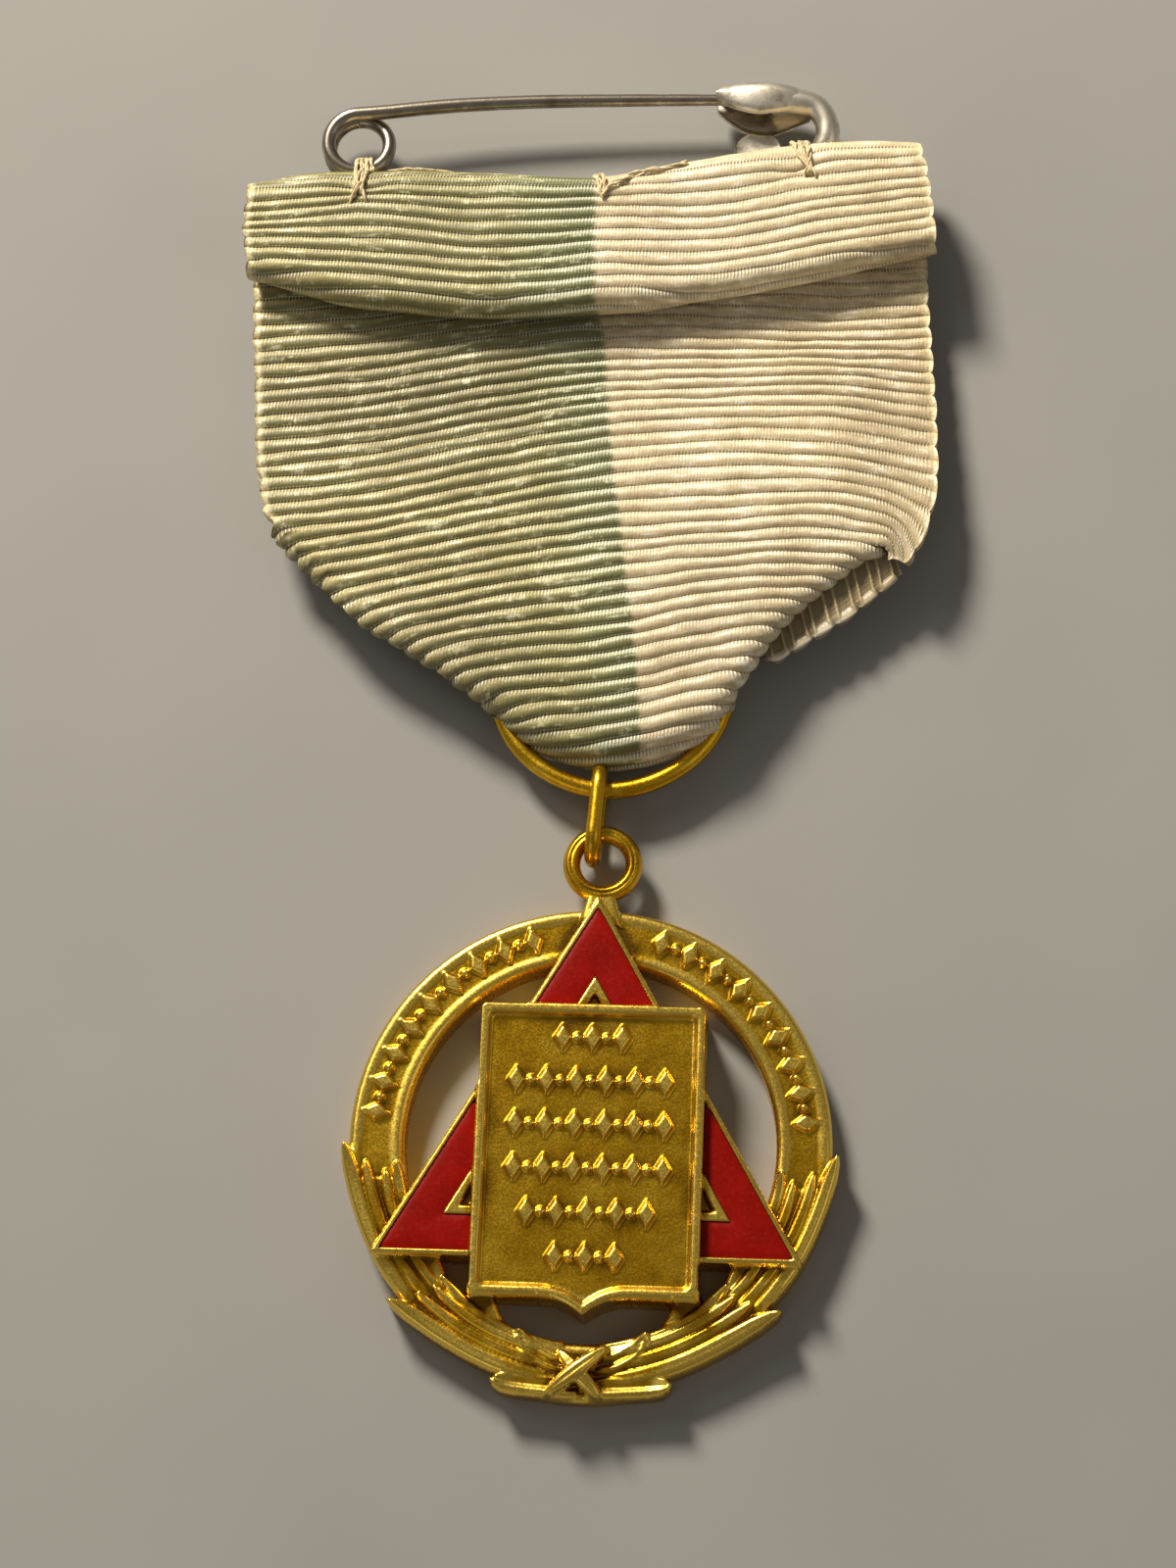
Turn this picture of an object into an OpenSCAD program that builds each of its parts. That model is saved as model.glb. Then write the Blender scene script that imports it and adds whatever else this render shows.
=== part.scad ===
// Lodge medal lying flat: a pierced gilt badge with red enamel, hung by a link and a ring
// from a folded grosgrain ribbon that is sewn to a safety pin.
// Millimetres. X is to the right of the face, Y is towards the pin, Z is up off the surface.

/* [Badge] */
// Outer radius of the badge's ring
ring_outer_r = 11.75; // [11.4:0.05:12.1]
// Inner radius of the badge's ring
ring_inner_r = 9.05; // [8.9:0.05:9.2]
// Height of the plain upper half of the ring
ring_h = 1.8; // [1.6:0.1:2.0]
// Side of the equilateral triangle
triangle_side = 20.8; // [20.4:0.1:21.2]
// Width of the red band inside the triangle
enamel_band_w = 1.75; // [1.5:0.05:1.85]
// Height of the triangle's gilt borders
triangle_h = 2.65; // [2.5:0.05:2.8]
// Width of the raised tablet
tablet_w = 11.1; // [10.8:0.1:11.4]
// Height of the tablet off the surface
tablet_h = 3.3; // [3.1:0.1:3.5]
// Turn of the badge on the surface, clockwise when negative
badge_turn = -2.2; // [-3:0.1:-1]

/* [Suspension] */
// Diameter of the ribbon ring's wire
ring_wire_d = 0.9; // [0.8:0.05:0.9]
// Radius of the ribbon ring at the middle of its wire
ribbon_ring_r = 5.95; // [5.9:0.05:6.0]
// Diameter of the jump link's wire
link_wire_d = 0.8; // [0.7:0.05:0.8]

/* [Ribbon] */
// Thickness of the cloth
cloth_t = 1; // [0.9:0.05:1]
// Length of the hem's turned-under tail
hem_tail = 3; // [2:0.5:5]

/* [Safety pin] */
// Diameter of the pin's wire
pin_wire_d = 0.74; // [0.6:0.02:0.76]
// Radius of the coil at the middle of its wire
coil_r = 1.57; // [1.5:0.01:1.6]
// Thickness of the cap's sheet
cap_sheet_t = 0.26; // [0.2:0.02:0.3]

/* [Hidden] */

// Colours as seen on the object
gilt = [0.83, 0.64, 0.20];
enamel_red = [0.70, 0.05, 0.05];
cloth_green = [0.72, 0.73, 0.52];
worn_steel = [0.62, 0.58, 0.53];

// Everything is laid out on the surface with the badge's centre and the fold lines where
// they lie, and then moved so that the origin is the middle of the whole outline.
layout_middle = [0.20, 3.55];
ring_centre = [0.17, -18.87];
ribbon_ring_centre = [1.3, 5.1];
coil_centre = [-12.13, 35.3];

clearance = 0.04;
sliver = 0.01;
// Overlap by which soldered and cast parts run into each other
weld = 0.1;

module on_origin() {
    translate([-layout_middle[0], -layout_middle[1], 0]) children();
}

module on_badge() {
    translate([ring_centre[0], ring_centre[1], 0]) rotate([0, 0, badge_turn]) children();
}

// Value at t of the curve through a at 0, b at one half and c at 1
function through3(a, b, c, t) = a * (1 - t) * (1 - 2 * t) + b * 4 * t * (1 - t) + c * t * (2 * t - 1);

function unit(v) = v / norm(v);

// A sheet of cloth, lofted through its rows.
// Columns of a row: left x, right x, y at left, middle and right,
// z at left, middle and right, the angle of the cloth's run (0 is +Y, 90 is +Z),
// and how far the quarter points stand out past the curve through the other three.
function row_x(r, t) = r[0] + (r[1] - r[0]) * t;
function row_y(r, t) = through3(r[2], r[3], r[4], t) + r[9] * pow(sin(360 * t), 2);
function row_z(r, t) = through3(r[5], r[6], r[7], t);
function row_point(r, t, off) = [
    row_x(r, t), row_y(r, t) - off * sin(r[8]), row_z(r, t) + off * cos(r[8])
];

module sheet(rows, steps, thickness) {
    n = len(rows);
    m = steps + 1;
    faces_of = function (base, flip) [
        for (i = [0:n - 2], j = [0:steps - 1])
            let (a = base + i * m + j, b = a + 1, c = a + m + 1, d = a + m)
            flip ? [d, c, b, a] : [a, b, c, d]
    ];
    under = n * m;
    points = [
        for (off = [thickness / 2, -thickness / 2], r = rows, j = [0:steps])
            row_point(r, j / steps, off)
    ];
    left = [for (i = [0:n - 2]) [i * m, under + i * m, under + (i + 1) * m, (i + 1) * m]];
    right = [
        for (i = [0:n - 2])
            [i * m + steps, (i + 1) * m + steps, under + (i + 1) * m + steps, under + i * m + steps]
    ];
    first = [for (j = [0:steps - 1]) [j, j + 1, under + j + 1, under + j]];
    last_row = (n - 1) * m;
    last = [
        for (j = [0:steps - 1])
            [last_row + j, under + last_row + j, under + last_row + j + 1, last_row + j + 1]
    ];
    polyhedron(
        points = points,
        faces = concat(faces_of(0, false), faces_of(under, true), left, right, first, last),
        convexity = 8
    );
}

// Rows of cloth that turn round an axis along X.
// centre_z and turn_r are the axis height and the radius at the middle of the cloth;
// the angle goes from start to stop, and run_shift turns it into the cloth's run.
function turn_rows(x_pair, axis_y, centre_z, turn_r, start, stop, steps, run_shift, pinch = 0, wave = 0) = [
    for (i = [0:steps])
        let (
            a = start + (stop - start) * i / steps,
            squeeze = pinch * pow(sin((stop - start) / abs(stop - start) * 180 * i / steps), 2)
        )
        [
            x_pair[0] + abs(squeeze), x_pair[1] - abs(squeeze),
            axis_y[0] + turn_r * cos(a), axis_y[1] + turn_r * cos(a), axis_y[2] + turn_r * cos(a),
            centre_z + turn_r * sin(a), centre_z + turn_r * sin(a), centre_z + turn_r * sin(a),
            a + run_shift, wave
        ]
];

// Levels of the cloth's middle: the back panel lies on the surface, the front panel rises
// from the hem down to the ring, and the hem stands proud of it.
back_z = cloth_t / 2;
front_z_high = 1.7;
front_z_low = 2.9;
hem_z = 3.9;
tail_z = 2.8;

// Axes of the three turns: y at left, middle and right
bottom_axis = [4.3, 2.3, 4.7];
top_axis = [31.25, 30.8, 32.6];
hem_axis = [27.8, 25.25, 29.1];
top_wave = 0.5;

// How far each side of the cloth is drawn in where it turns round the ring
foot_pinch = 1.35;

bottom_x = [-4.5, 7.5];
top_x = [-17.6, 17.5];
hem_x = [-17.4, 18.0];

// Front panel, from the ring up: left x, right x, y left, y middle, y right, z (one for all)
front_table = [
    [-6.1, 8.9, 4.5, 4.6, 6.3, 2.9],
    [-8.9, 10.9, 7.0, 7.3, 8.2, 2.9],
    [-11.7, 13.3, 9.2, 9.9, 10.2, 2.9],
    [-14.5, 16.7, 12.0, 12.7, 12.4, 2.85],
    [-16.2, 17.7, 14.4, 15.1, 14.6, 2.65],
    [-16.6, 17.95, 18.2, 18.9, 18.4, 2.2],
    [-16.95, 17.95, 22.2, 22.3, 22.4, 1.8],
    [-17.2, 17.75, 26.5, 26.0, 26.9, 1.7]
];

// Back panel, from its upper end down: left x, right x, y left, y middle, y right
back_table = [
    [-17.0, 17.3, 31.3, 30.9, 32.0],
    [-16.6, 17.4, 22.0, 22.0, 22.2],
    [-15.4, 16.6, 14.0, 14.2, 14.6],
    [-12.2, 12.6, 10.2, 9.8, 10.6],
    [-8.2, 9.6, 6.9, 6.0, 7.4]
];

// Steps of the loft: across the whole ribbon, across a flap, round a turn, round a flap's turn
ribbon_steps = 14;
flap_steps = 10;
turn_steps = 8;
flap_turn_steps = 6;

bottom_turn_r = (front_z_low - back_z) / 2;
top_turn_r = (hem_z - front_z_high) / 2;
hem_turn_r = (hem_z - tail_z) / 2;

ribbon_rows = concat(
    [for (r = back_table) [r[0], r[1], r[2], r[3], r[4], back_z, back_z, back_z, 180, 0]],
    turn_rows(
        bottom_x, bottom_axis, back_z + bottom_turn_r, bottom_turn_r,
        270, 90, turn_steps, -90, foot_pinch
    ),
    [for (r = front_table) [r[0], r[1], r[2], r[3], r[4], r[5], r[5], r[5], 0, 0]],
    turn_rows(
        top_x, top_axis, front_z_high + top_turn_r, top_turn_r,
        -90, 90, turn_steps, 90, 0, top_wave
    ),
    turn_rows(hem_x, hem_axis, tail_z + hem_turn_r, hem_turn_r, 90, 270, turn_steps, 90),
    [[
        hem_x[0] + 0.2, hem_x[1] - 0.2,
        hem_axis[0] + hem_tail, hem_axis[1] + hem_tail, hem_axis[2] + hem_tail,
        tail_z, tail_z, tail_z, 360, 0
    ]]
);

// Left corner folded under along a diagonal: the outline of the fold from its lower end to
// its upper end, how far its middle bulges, the flap's depth behind the panel, and how far
// from the lower end the cloth starts to turn under, past the ring's wire.
left_fold = [[-4.7, 3.05], [-15.85, 12.3]];
left_bulge = 0.7;
left_depth = [2.0, 6.2, 0.8];
left_start = 2.3;

// Right corner pleated under: the line along its woven edge from its upper end to its lower
// end, how far the edge stands out from that line, and the pleat's depth behind the panel.
right_fold = [[16.8, 12.0], [9.4, 5.6]];
right_reach = [0.05, 0.75, -0.1];
right_depth = [2.0, 3.0, 1.6];

// The flaps' cloth starts inside the panel's, so that no two of their faces coincide
flap_z = 1.7;
flap_top_z = front_z_low - 0.06;
flap_t = cloth_t - 0.14;
flap_turn_r = (flap_top_z - flap_z) / 2;
flap_mid_z = (flap_top_z + flap_z) / 2;
flap_lap = 0.5;

// X along the line from p to q, Y to its left
module along(p, q) {
    translate([p[0], p[1], 0]) rotate([0, 0, atan2(q[1] - p[1], q[0] - p[0])]) children();
}

function flat_row(x, y, z, run) = [x[0], x[1], y[0], y[1], y[2], z, z, z, run, 0];

// The panel's cloth goes out to the fold, turns under and comes back inward
module left_flap() {
    run = norm(left_fold[1] - left_fold[0]);
    edge = flap_turn_r + flap_t / 2;
    axis = [-edge, left_bulge - edge, -edge];
    lap = [flap_lap, flap_lap, flap_lap];
    along(left_fold[0], left_fold[1]) sheet(
        concat(
            [flat_row([left_start, run], axis - lap, flap_top_z, 0)],
            turn_rows([left_start, run], axis, flap_mid_z, flap_turn_r, 90, -90, flap_turn_steps, -90),
            [flat_row([left_start + 1, run - 0.4], axis - left_depth, flap_z, -180)]
        ),
        flap_steps, flap_t
    );
}

// The panel's cloth goes inward behind itself, turns under and comes out again to its edge
module right_flap() {
    run = norm(right_fold[1] - right_fold[0]);
    axis = -right_depth;
    lap = [flap_lap, flap_lap, flap_lap];
    along(right_fold[0], right_fold[1]) sheet(
        concat(
            [flat_row([0, run], axis + lap, flap_top_z, 180)],
            turn_rows([0, run], axis, flap_mid_z, flap_turn_r, 90, 270, flap_turn_steps, 90),
            [flat_row([0, run], right_reach, flap_z, 360)]
        ),
        flap_steps, flap_t
    );
}

module ribbon() {
    color(cloth_green) on_origin() union() {
        sheet(ribbon_rows, ribbon_steps, cloth_t);
        left_flap();
        right_flap();
    }
}

// Gilt wire ring that the ribbon passes through
ring_wire_z = 1.7;

module ribbon_ring() {
    color(gilt) on_origin()
        translate([ribbon_ring_centre[0], ribbon_ring_centre[1], ring_wire_z])
            rotate_extrude($fn = 96)
                translate([ribbon_ring_r, 0]) circle(d = ring_wire_d, $fn = 32);
}

// Oval jump link that stands on edge, round the ribbon ring's wire and through the eye
link_half_w = 1.15;
link_z = 1.56;
link_top = [0.62, -1.05];
link_foot = [0.40, -3.3];

module jump_link() {
    straight = norm(link_top - link_foot);
    lean = atan2(link_foot[0] - link_top[0], link_top[1] - link_foot[1]);
    color(gilt) on_origin()
        translate([link_top[0], link_top[1], link_z]) rotate([0, 0, lean]) {
            for (side = [-1, 1])
                translate([0, 0, side * link_half_w])
                    rotate([90, 0, 0]) cylinder(d = link_wire_d, h = straight, $fn = 32);
            rotate([0, 90, 0])
                rotate_extrude(angle = 180, $fn = 64)
                    translate([link_half_w, 0]) circle(d = link_wire_d, $fn = 32);
            translate([0, -straight, 0]) rotate([0, 90, 0]) rotate([0, 0, 180])
                rotate_extrude(angle = 180, $fn = 64)
                    translate([link_half_w, 0]) circle(d = link_wire_d, $fn = 32);
        }
}

// Badge outlines, in its own frame with the ring's centre at 0, 0
triangle_mid_y = 0.2;
triangle_in_r = triangle_side / (2 * sqrt(3));
outer_border_w = 0.25;
inner_border_w = 0.4;
cell_out_r = triangle_in_r - outer_border_w;
cell_in_r = cell_out_r - enamel_band_w;
inner_border_r = cell_in_r - inner_border_w;
plate_h = 1.95;
enamel_h = 2.55;
cell_margin = 0.2;
side_field_top_y = 4;
cut_reach = 20;
tablet_top_y = 6.62;
tablet_foot_y = -7.75;
tablet_rim_w = 0.5;
tablet_floor_h = 2.75;
tablet_draft = 0.94;

// Equilateral triangle with its apex towards +Y, given by its inscribed circle
module delta(in_r) {
    translate([0, triangle_mid_y])
        polygon([for (i = [0:2]) 2 * in_r * [cos(90 + 120 * i), sin(90 + 120 * i)]]);
}

// Tablet with a foot that dips to a small point in the middle
module tablet_outline(inset = 0) {
    w = tablet_w / 2 - inset;
    top = tablet_top_y - inset;
    foot = tablet_foot_y + inset;
    polygon([
        [-w, top], [w, top], [w, foot], [2.2, foot], [1.1, foot - 0.1], [0.5, foot - 0.35],
        [0, foot - 0.85], [-0.5, foot - 0.35], [-1.1, foot - 0.1], [-2.2, foot], [-w, foot]
    ]);
}

// Fields of the red band that show past the tablet
module field_top(inset) {
    difference() {
        delta(cell_out_r - inset);
        delta(cell_in_r + inset);
        translate([-cut_reach, tablet_top_y + cell_margin + inset - 2 * cut_reach])
            square(2 * cut_reach);
    }
}

module field_side(side, inset) {
    past = tablet_w / 2 + cell_margin + inset;
    intersection() {
        difference() {
            delta(cell_out_r - inset);
            delta(cell_in_r + inset);
        }
        translate([side > 0 ? past : -past - cut_reach, side_field_top_y - cut_reach])
            square(cut_reach);
    }
}

module cells() {
    translate([0, 0, plate_h]) linear_extrude(height = 3) {
        field_top(0);
        field_side(-1, 0);
        field_side(1, 0);
    }
}

module badge_ring() {
    rim = 0.15;
    flare = 0.1;
    rotate_extrude($fn = 128) polygon([
        [ring_inner_r + flare, 0], [ring_outer_r + flare, 0],
        [ring_outer_r + flare, ring_h - 0.7], [ring_outer_r - rim, ring_h],
        [ring_inner_r + rim, ring_h], [ring_inner_r, ring_h - 0.5]
    ]);
}

module triangle_plate() {
    linear_extrude(height = triangle_h) difference() {
        delta(triangle_in_r);
        delta(inner_border_r);
    }
    linear_extrude(height = plate_h - weld) delta(inner_border_r + sliver);
}

// The openings between ring, triangle and tablet are where none of these three lies
module tablet() {
    draft_mid_y = -0.5;
    difference() {
        translate([0, draft_mid_y, 0]) linear_extrude(height = tablet_h, scale = tablet_draft)
            translate([0, -draft_mid_y]) scale(1 / tablet_draft) tablet_outline();
        translate([0, 0, tablet_floor_h]) linear_extrude(height = tablet_h) tablet_outline(tablet_rim_w);
    }
}

// Feet that join the tablet's lower corners to the ring
module tablet_feet() {
    for (side = [-1, 1])
        linear_extrude(height = ring_h - 0.2)
            polygon([
                [side * 3.9, tablet_foot_y + 0.6], [side * 5.7, tablet_foot_y + 0.6],
                [side * 5.9, tablet_foot_y + 0.1], [side * 4.4, tablet_foot_y - 0.7]
            ]);
}

// Suspension eye in the badge's plane, and the neck that carries it
eye_y = 14.15;
eye_x = 0.1;
eye_outer_r = 1.98;
eye_hole_r = 1.13;
eye_z = [0.95, 2.15];

module eye() {
    soft = 0.2;
    translate([eye_x, eye_y, 0]) rotate_extrude($fn = 64) polygon([
        [eye_hole_r, eye_z[0] + soft], [eye_hole_r + soft, eye_z[0]],
        [eye_outer_r - soft, eye_z[0]], [eye_outer_r, eye_z[0] + soft],
        [eye_outer_r, eye_z[1] - soft], [eye_outer_r - soft, eye_z[1]],
        [eye_hole_r + soft, eye_z[1]], [eye_hole_r, eye_z[1] - soft]
    ]);
    linear_extrude(height = eye_z[1] - weld)
        polygon([[-1.1, 10.8], [1.3, 10.8], [0.9, 12.7], [-0.7, 12.7]]);
}

// Wreath round the lower half: each side has three groups of three long leaves.
// Columns: tip angle from the badge's foot, leaf length in degrees, height of the leaf's
// edge, radius of the outer tip, radius of the inner tip
leaf_groups = [
    [89, 38, 1.5, 11.6, 9.15],
    [50, 33, 1.6, 12.0, 9.65],
    [20, 17, 1.7, 12.15, 9.8]
];
// Columns: radius at the leaf's root, share of the way from the inner to the outer tip,
// half width, ridge height, lead of the tip in degrees
leaf_strands = [
    [10.95, 1, 0.55, 0.7, 0],
    [10.4, 0.5, 0.6, 0.9, -4],
    [9.85, 0, 0.55, 0.7, -7]
];
// Columns: share of the length, share of the half width, share of the ridge
leaf_sections = [
    [0, 0.45, 0.55], [0.3, 0.95, 0.9], [0.6, 1, 1], [0.85, 0.6, 0.75], [1, 0.08, 0.3]
];
leaf_root_z = 0.9;

// Crossed bands that tie the wreath at its foot
tie_x = -0.3;
tie_r = 10.95;
tie_l = 3.3;
tie_w = 0.62;
tie_h = 2.65;
tie_turn = 38;

module leaf(side, root_a, tip_a, root_r, tip_r, half_w, ridge_h, base_h) {
    sections = len(leaf_sections);
    at = function (s, across, z)
        let (
            a = 270 + side * (root_a + (tip_a - root_a) * s[0]),
            r = root_r + (tip_r - root_r) * s[0] + across * half_w * s[1]
        )
        [r * cos(a), r * sin(a), z];
    points = [
        for (s = leaf_sections)
            each [
                at(s, -1, leaf_root_z), at(s, -1, base_h),
                at(s, 0, base_h + ridge_h * s[2]),
                at(s, 1, base_h), at(s, 1, leaf_root_z)
            ]
    ];
    skin = [
        for (i = [0:sections - 2], j = [0:4])
            let (a = 5 * i + j, b = 5 * i + (j + 1) % 5)
            side < 0 ? [a, b, b + 5, a + 5] : [a + 5, b + 5, b, a]
    ];
    end = 5 * (sections - 1);
    caps = side < 0
        ? [[4, 3, 2, 1, 0], [end, end + 1, end + 2, end + 3, end + 4]]
        : [[0, 1, 2, 3, 4], [end + 4, end + 3, end + 2, end + 1, end]];
    polyhedron(points = points, faces = concat(skin, caps), convexity = 3);
}

module wreath() {
    for (side = [-1, 1], group = leaf_groups, strand = leaf_strands) {
        tip_a = group[0] + strand[4] * group[1] / leaf_groups[0][1];
        tip_r = group[4] + (group[3] - group[4]) * strand[1];
        leaf(side, tip_a - group[1], tip_a, strand[0], tip_r, strand[2], strand[3], group[2]);
    }
    for (turn = [-1, 1])
        translate([tie_x, -tie_r, leaf_root_z]) rotate([0, 0, turn * tie_turn])
            linear_extrude(height = tie_h - leaf_root_z) square([tie_l, tie_w], center = true);
}

// Raised lozenges and beads where the badge carries its ornament
lozenge_w = 0.85;
lozenge_l = 1.35;
bead_r = 0.2;
ornament_pitch = 1.45;
ornament_h = 0.3;
// Arcs of the ring: lozenges on each side, first one's angle from the eye, and their step
arc_r = 10.55;
arc_count = 9;
arc_first = 17.5;
arc_step = 8.2;
// Columns: row centre y, number of lozenges
tablet_rows = [[4.95, 3], [2.8, 6], [0.65, 6], [-1.5, 6], [-3.65, 5], [-5.8, 3]];

module lozenge() {
    polygon([
        [0, lozenge_l / 2], [lozenge_w / 2, 0], [0, -lozenge_l / 2], [-lozenge_w / 2, 0]
    ]);
}

module ornament() {
    translate([0, 0, tablet_floor_h - weld]) linear_extrude(height = ornament_h + weld)
        for (row = tablet_rows, i = [0:row[1] - 1])
            translate([(i - (row[1] - 1) / 2) * ornament_pitch, row[0]]) {
                lozenge();
                if (i < row[1] - 1)
                    translate([ornament_pitch / 2, 0]) circle(r = bead_r, $fn = 8);
            }
    translate([0, 0, ring_h - weld]) linear_extrude(height = ornament_h + weld)
        for (side = [-1, 1], i = [0:arc_count - 1])
            rotate([0, 0, side * (arc_first + arc_step * i)]) translate([0, arc_r]) {
                lozenge();
                if (i < arc_count - 1)
                    rotate([0, 0, side * arc_step / 2]) circle(r = bead_r, $fn = 8);
            }
}

module medal_body() {
    color(gilt) on_origin() on_badge() union() {
        difference() {
            union() {
                badge_ring();
                wreath();
                triangle_plate();
                eye();
            }
            cells();
        }
        tablet_feet();
        tablet();
        ornament();
    }
}

// Red enamel, poured into the cells
module enamel_field(which) {
    color(enamel_red) on_origin() on_badge()
        translate([0, 0, plate_h + clearance]) linear_extrude(height = enamel_h - plate_h - clearance) {
            if (which == 0) field_top(clearance);
            if (which != 0) field_side(which, clearance);
        }
}

module enamel_top() {
    enamel_field(0);
}

module enamel_left() {
    enamel_field(-1);
}

module enamel_right() {
    enamel_field(1);
}

// A wire along a row of points [x, y, z, radius], as one closed tube
module wire(path, sides) {
    n = len(path);
    spot = [for (p = path) [p[0], p[1], p[2]]];
    heading = [
        for (i = [0:n - 1])
            unit(spot[min(i + 1, n - 1)] - spot[max(i - 1, 0)])
    ];
    points = [
        for (i = [0:n - 1], j = [0:sides - 1])
            let (
                across = unit(cross([0, 0, 1], heading[i])),
                up = cross(heading[i], across),
                a = 360 * j / sides
            )
            spot[i] + path[i][3] * (across * cos(a) + up * sin(a))
    ];
    skin = [
        for (i = [0:n - 2], j = [0:sides - 1])
            let (a = i * sides + j, b = i * sides + (j + 1) % sides)
            [a, a + sides, b + sides, b]
    ];
    caps = [
        [for (j = [0:sides - 1]) j],
        [for (j = [sides - 1:-1:0]) (n - 1) * sides + j]
    ];
    polyhedron(points = points, faces = concat(skin, caps), convexity = 6);
}

// The coil falls by coil_pitch a turn from the moving arm to the fixed arm.
// Angles go counter-clockwise; the two bodies part where the coil passes under the arm.
pin_r = pin_wire_d / 2;
coil_pitch = 0.86;
coil_start = 150;
coil_part = 450;
coil_end = 630;
coil_top_z = 2.3;
part_gap = 2;
coil_facet = 12;
wire_sides = 12;
neck_sides = 16;

function coil_point(a) = [
    coil_centre[0] + coil_r * cos(a), coil_centre[1] + coil_r * sin(a),
    coil_top_z - coil_pitch * (a - coil_start) / 360, pin_r
];

// Moving arm from its point to the coil: x, y, z, radius
arm_route = [
    [10.3, 37.45, 1.95, 0.08], [9.3, 37.47, 1.96, 0.2], [7.6, 37.5, 1.98, 0.28],
    [3.2, 37.55, 2.05, 0.3], [-2.0, 37.55, 2.15, 0.33], [-6.0, 37.45, 2.25, 0.36],
    [-8.8, 37.3, 2.33, pin_r], [-10.6, 37.1, 2.38, pin_r], [-11.8, 36.88, 2.4, pin_r],
    [-12.7, 36.58, 2.37, pin_r]
];

// Fixed arm from the coil's foot, behind the ribbon's upper edge, to the cap
back_arm_route = [
    [-11.2, 33.68, 1.08, pin_r], [-10.2, 33.5, 0.97, pin_r], [-9.0, 33.1, 0.85, pin_r],
    [-6.0, 32.55, 0.76, pin_r], [0, 32.05, 0.74, pin_r], [6.0, 32.6, 0.76, pin_r],
    [9.2, 33.3, 0.85, pin_r], [10.6, 33.75, 0.98, pin_r], [11.35, 34.1, 1.1, pin_r]
];

module pin_arm() {
    color(worn_steel) on_origin()
        wire(concat(
            arm_route,
            [for (a = [coil_start + 15:coil_facet:coil_part - part_gap]) coil_point(a)]
        ), wire_sides);
}

module pin_back_arm() {
    color(worn_steel) on_origin()
        wire(concat(
            [for (a = [coil_part + part_gap:coil_facet:coil_end]) coil_point(a)],
            back_arm_route
        ), wire_sides);
}

// Cap: a sheet folded over the pin's point, with a round neck down to the fixed arm
cap_z = [1.05, 2.85];
// Space inside the fold, open at the mouth on the left and below
cap_mouth_x = [5, 10.9];
cap_mouth_y = [30, 37.94];
neck_route = [
    [10.9, 37.15, 1.95, 0.72], [12.0, 36.95, 1.95, 0.68], [12.65, 36.3, 1.9, 0.64],
    [12.85, 35.5, 1.75, 0.6], [12.65, 34.95, 1.55, 0.56], [12.2, 34.55, 1.35, 0.5],
    [11.65, 34.25, 1.17, 0.46]
];

module cap_back_outline() {
    polygon([
        [7.0, 38.05], [8.9, 38.2], [11.2, 38.1], [12.0, 37.7], [12.0, 36.6], [11.2, 36.2],
        [10.6, 35.5], [9.9, 34.95], [9.0, 34.75], [8.2, 35.0], [7.6, 35.6], [7.3, 36.4], [7.0, 37.3]
    ]);
}

module cap_front_outline() {
    polygon([
        [6.9, 38.0], [8.9, 38.2], [11.2, 38.1], [12.0, 37.7], [11.9, 36.7], [11.0, 36.65],
        [10.1, 36.5], [9.2, 36.35], [8.3, 36.6], [7.5, 37.15]
    ]);
}

module pin_cap() {
    color(worn_steel) on_origin() {
        difference() {
            union() {
                translate([0, 0, cap_z[0]]) linear_extrude(height = cap_sheet_t) cap_back_outline();
                translate([0, 0, cap_z[0]])
                    linear_extrude(height = cap_z[1] - cap_z[0]) cap_front_outline();
            }
            translate([cap_mouth_x[0], cap_mouth_y[0], cap_z[0] + cap_sheet_t])
                cube([
                    cap_mouth_x[1] - cap_mouth_x[0], cap_mouth_y[1] - cap_mouth_y[0],
                    cap_z[1] - cap_z[0] - 2 * cap_sheet_t
                ]);
        }
        wire(neck_route, neck_sides);
    }
}

ribbon();
ribbon_ring();
jump_link();
medal_body();
enamel_top();
enamel_left();
enamel_right();
pin_back_arm();
pin_cap();
pin_arm();
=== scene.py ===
import math

import bpy
import numpy as np
from mathutils import Euler, Matrix, Vector
from mathutils.geometry import tessellate_polygon


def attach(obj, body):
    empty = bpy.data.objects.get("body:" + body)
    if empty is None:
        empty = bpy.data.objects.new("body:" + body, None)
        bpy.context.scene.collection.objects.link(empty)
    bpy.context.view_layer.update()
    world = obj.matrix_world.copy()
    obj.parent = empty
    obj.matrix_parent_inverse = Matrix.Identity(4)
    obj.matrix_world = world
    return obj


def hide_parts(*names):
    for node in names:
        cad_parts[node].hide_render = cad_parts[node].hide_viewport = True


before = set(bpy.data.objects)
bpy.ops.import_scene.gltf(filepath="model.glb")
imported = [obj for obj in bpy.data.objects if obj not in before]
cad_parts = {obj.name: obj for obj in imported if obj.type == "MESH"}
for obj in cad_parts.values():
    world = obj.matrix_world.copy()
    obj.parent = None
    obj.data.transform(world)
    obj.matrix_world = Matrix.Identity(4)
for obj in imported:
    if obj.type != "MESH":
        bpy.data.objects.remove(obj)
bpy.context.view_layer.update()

# Points are in layout millimetres, as in the part's source: the frame's origin lies at MIDDLE.
# A part is a tuple of points, quads, triangles and a dictionary of point values.
MIDDLE = np.array([0.20, 3.55, 0.0])
MM = 0.001
FULL_TURN = 2 * math.pi
NO_TRIANGLES = np.zeros((0, 3), int)


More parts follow.
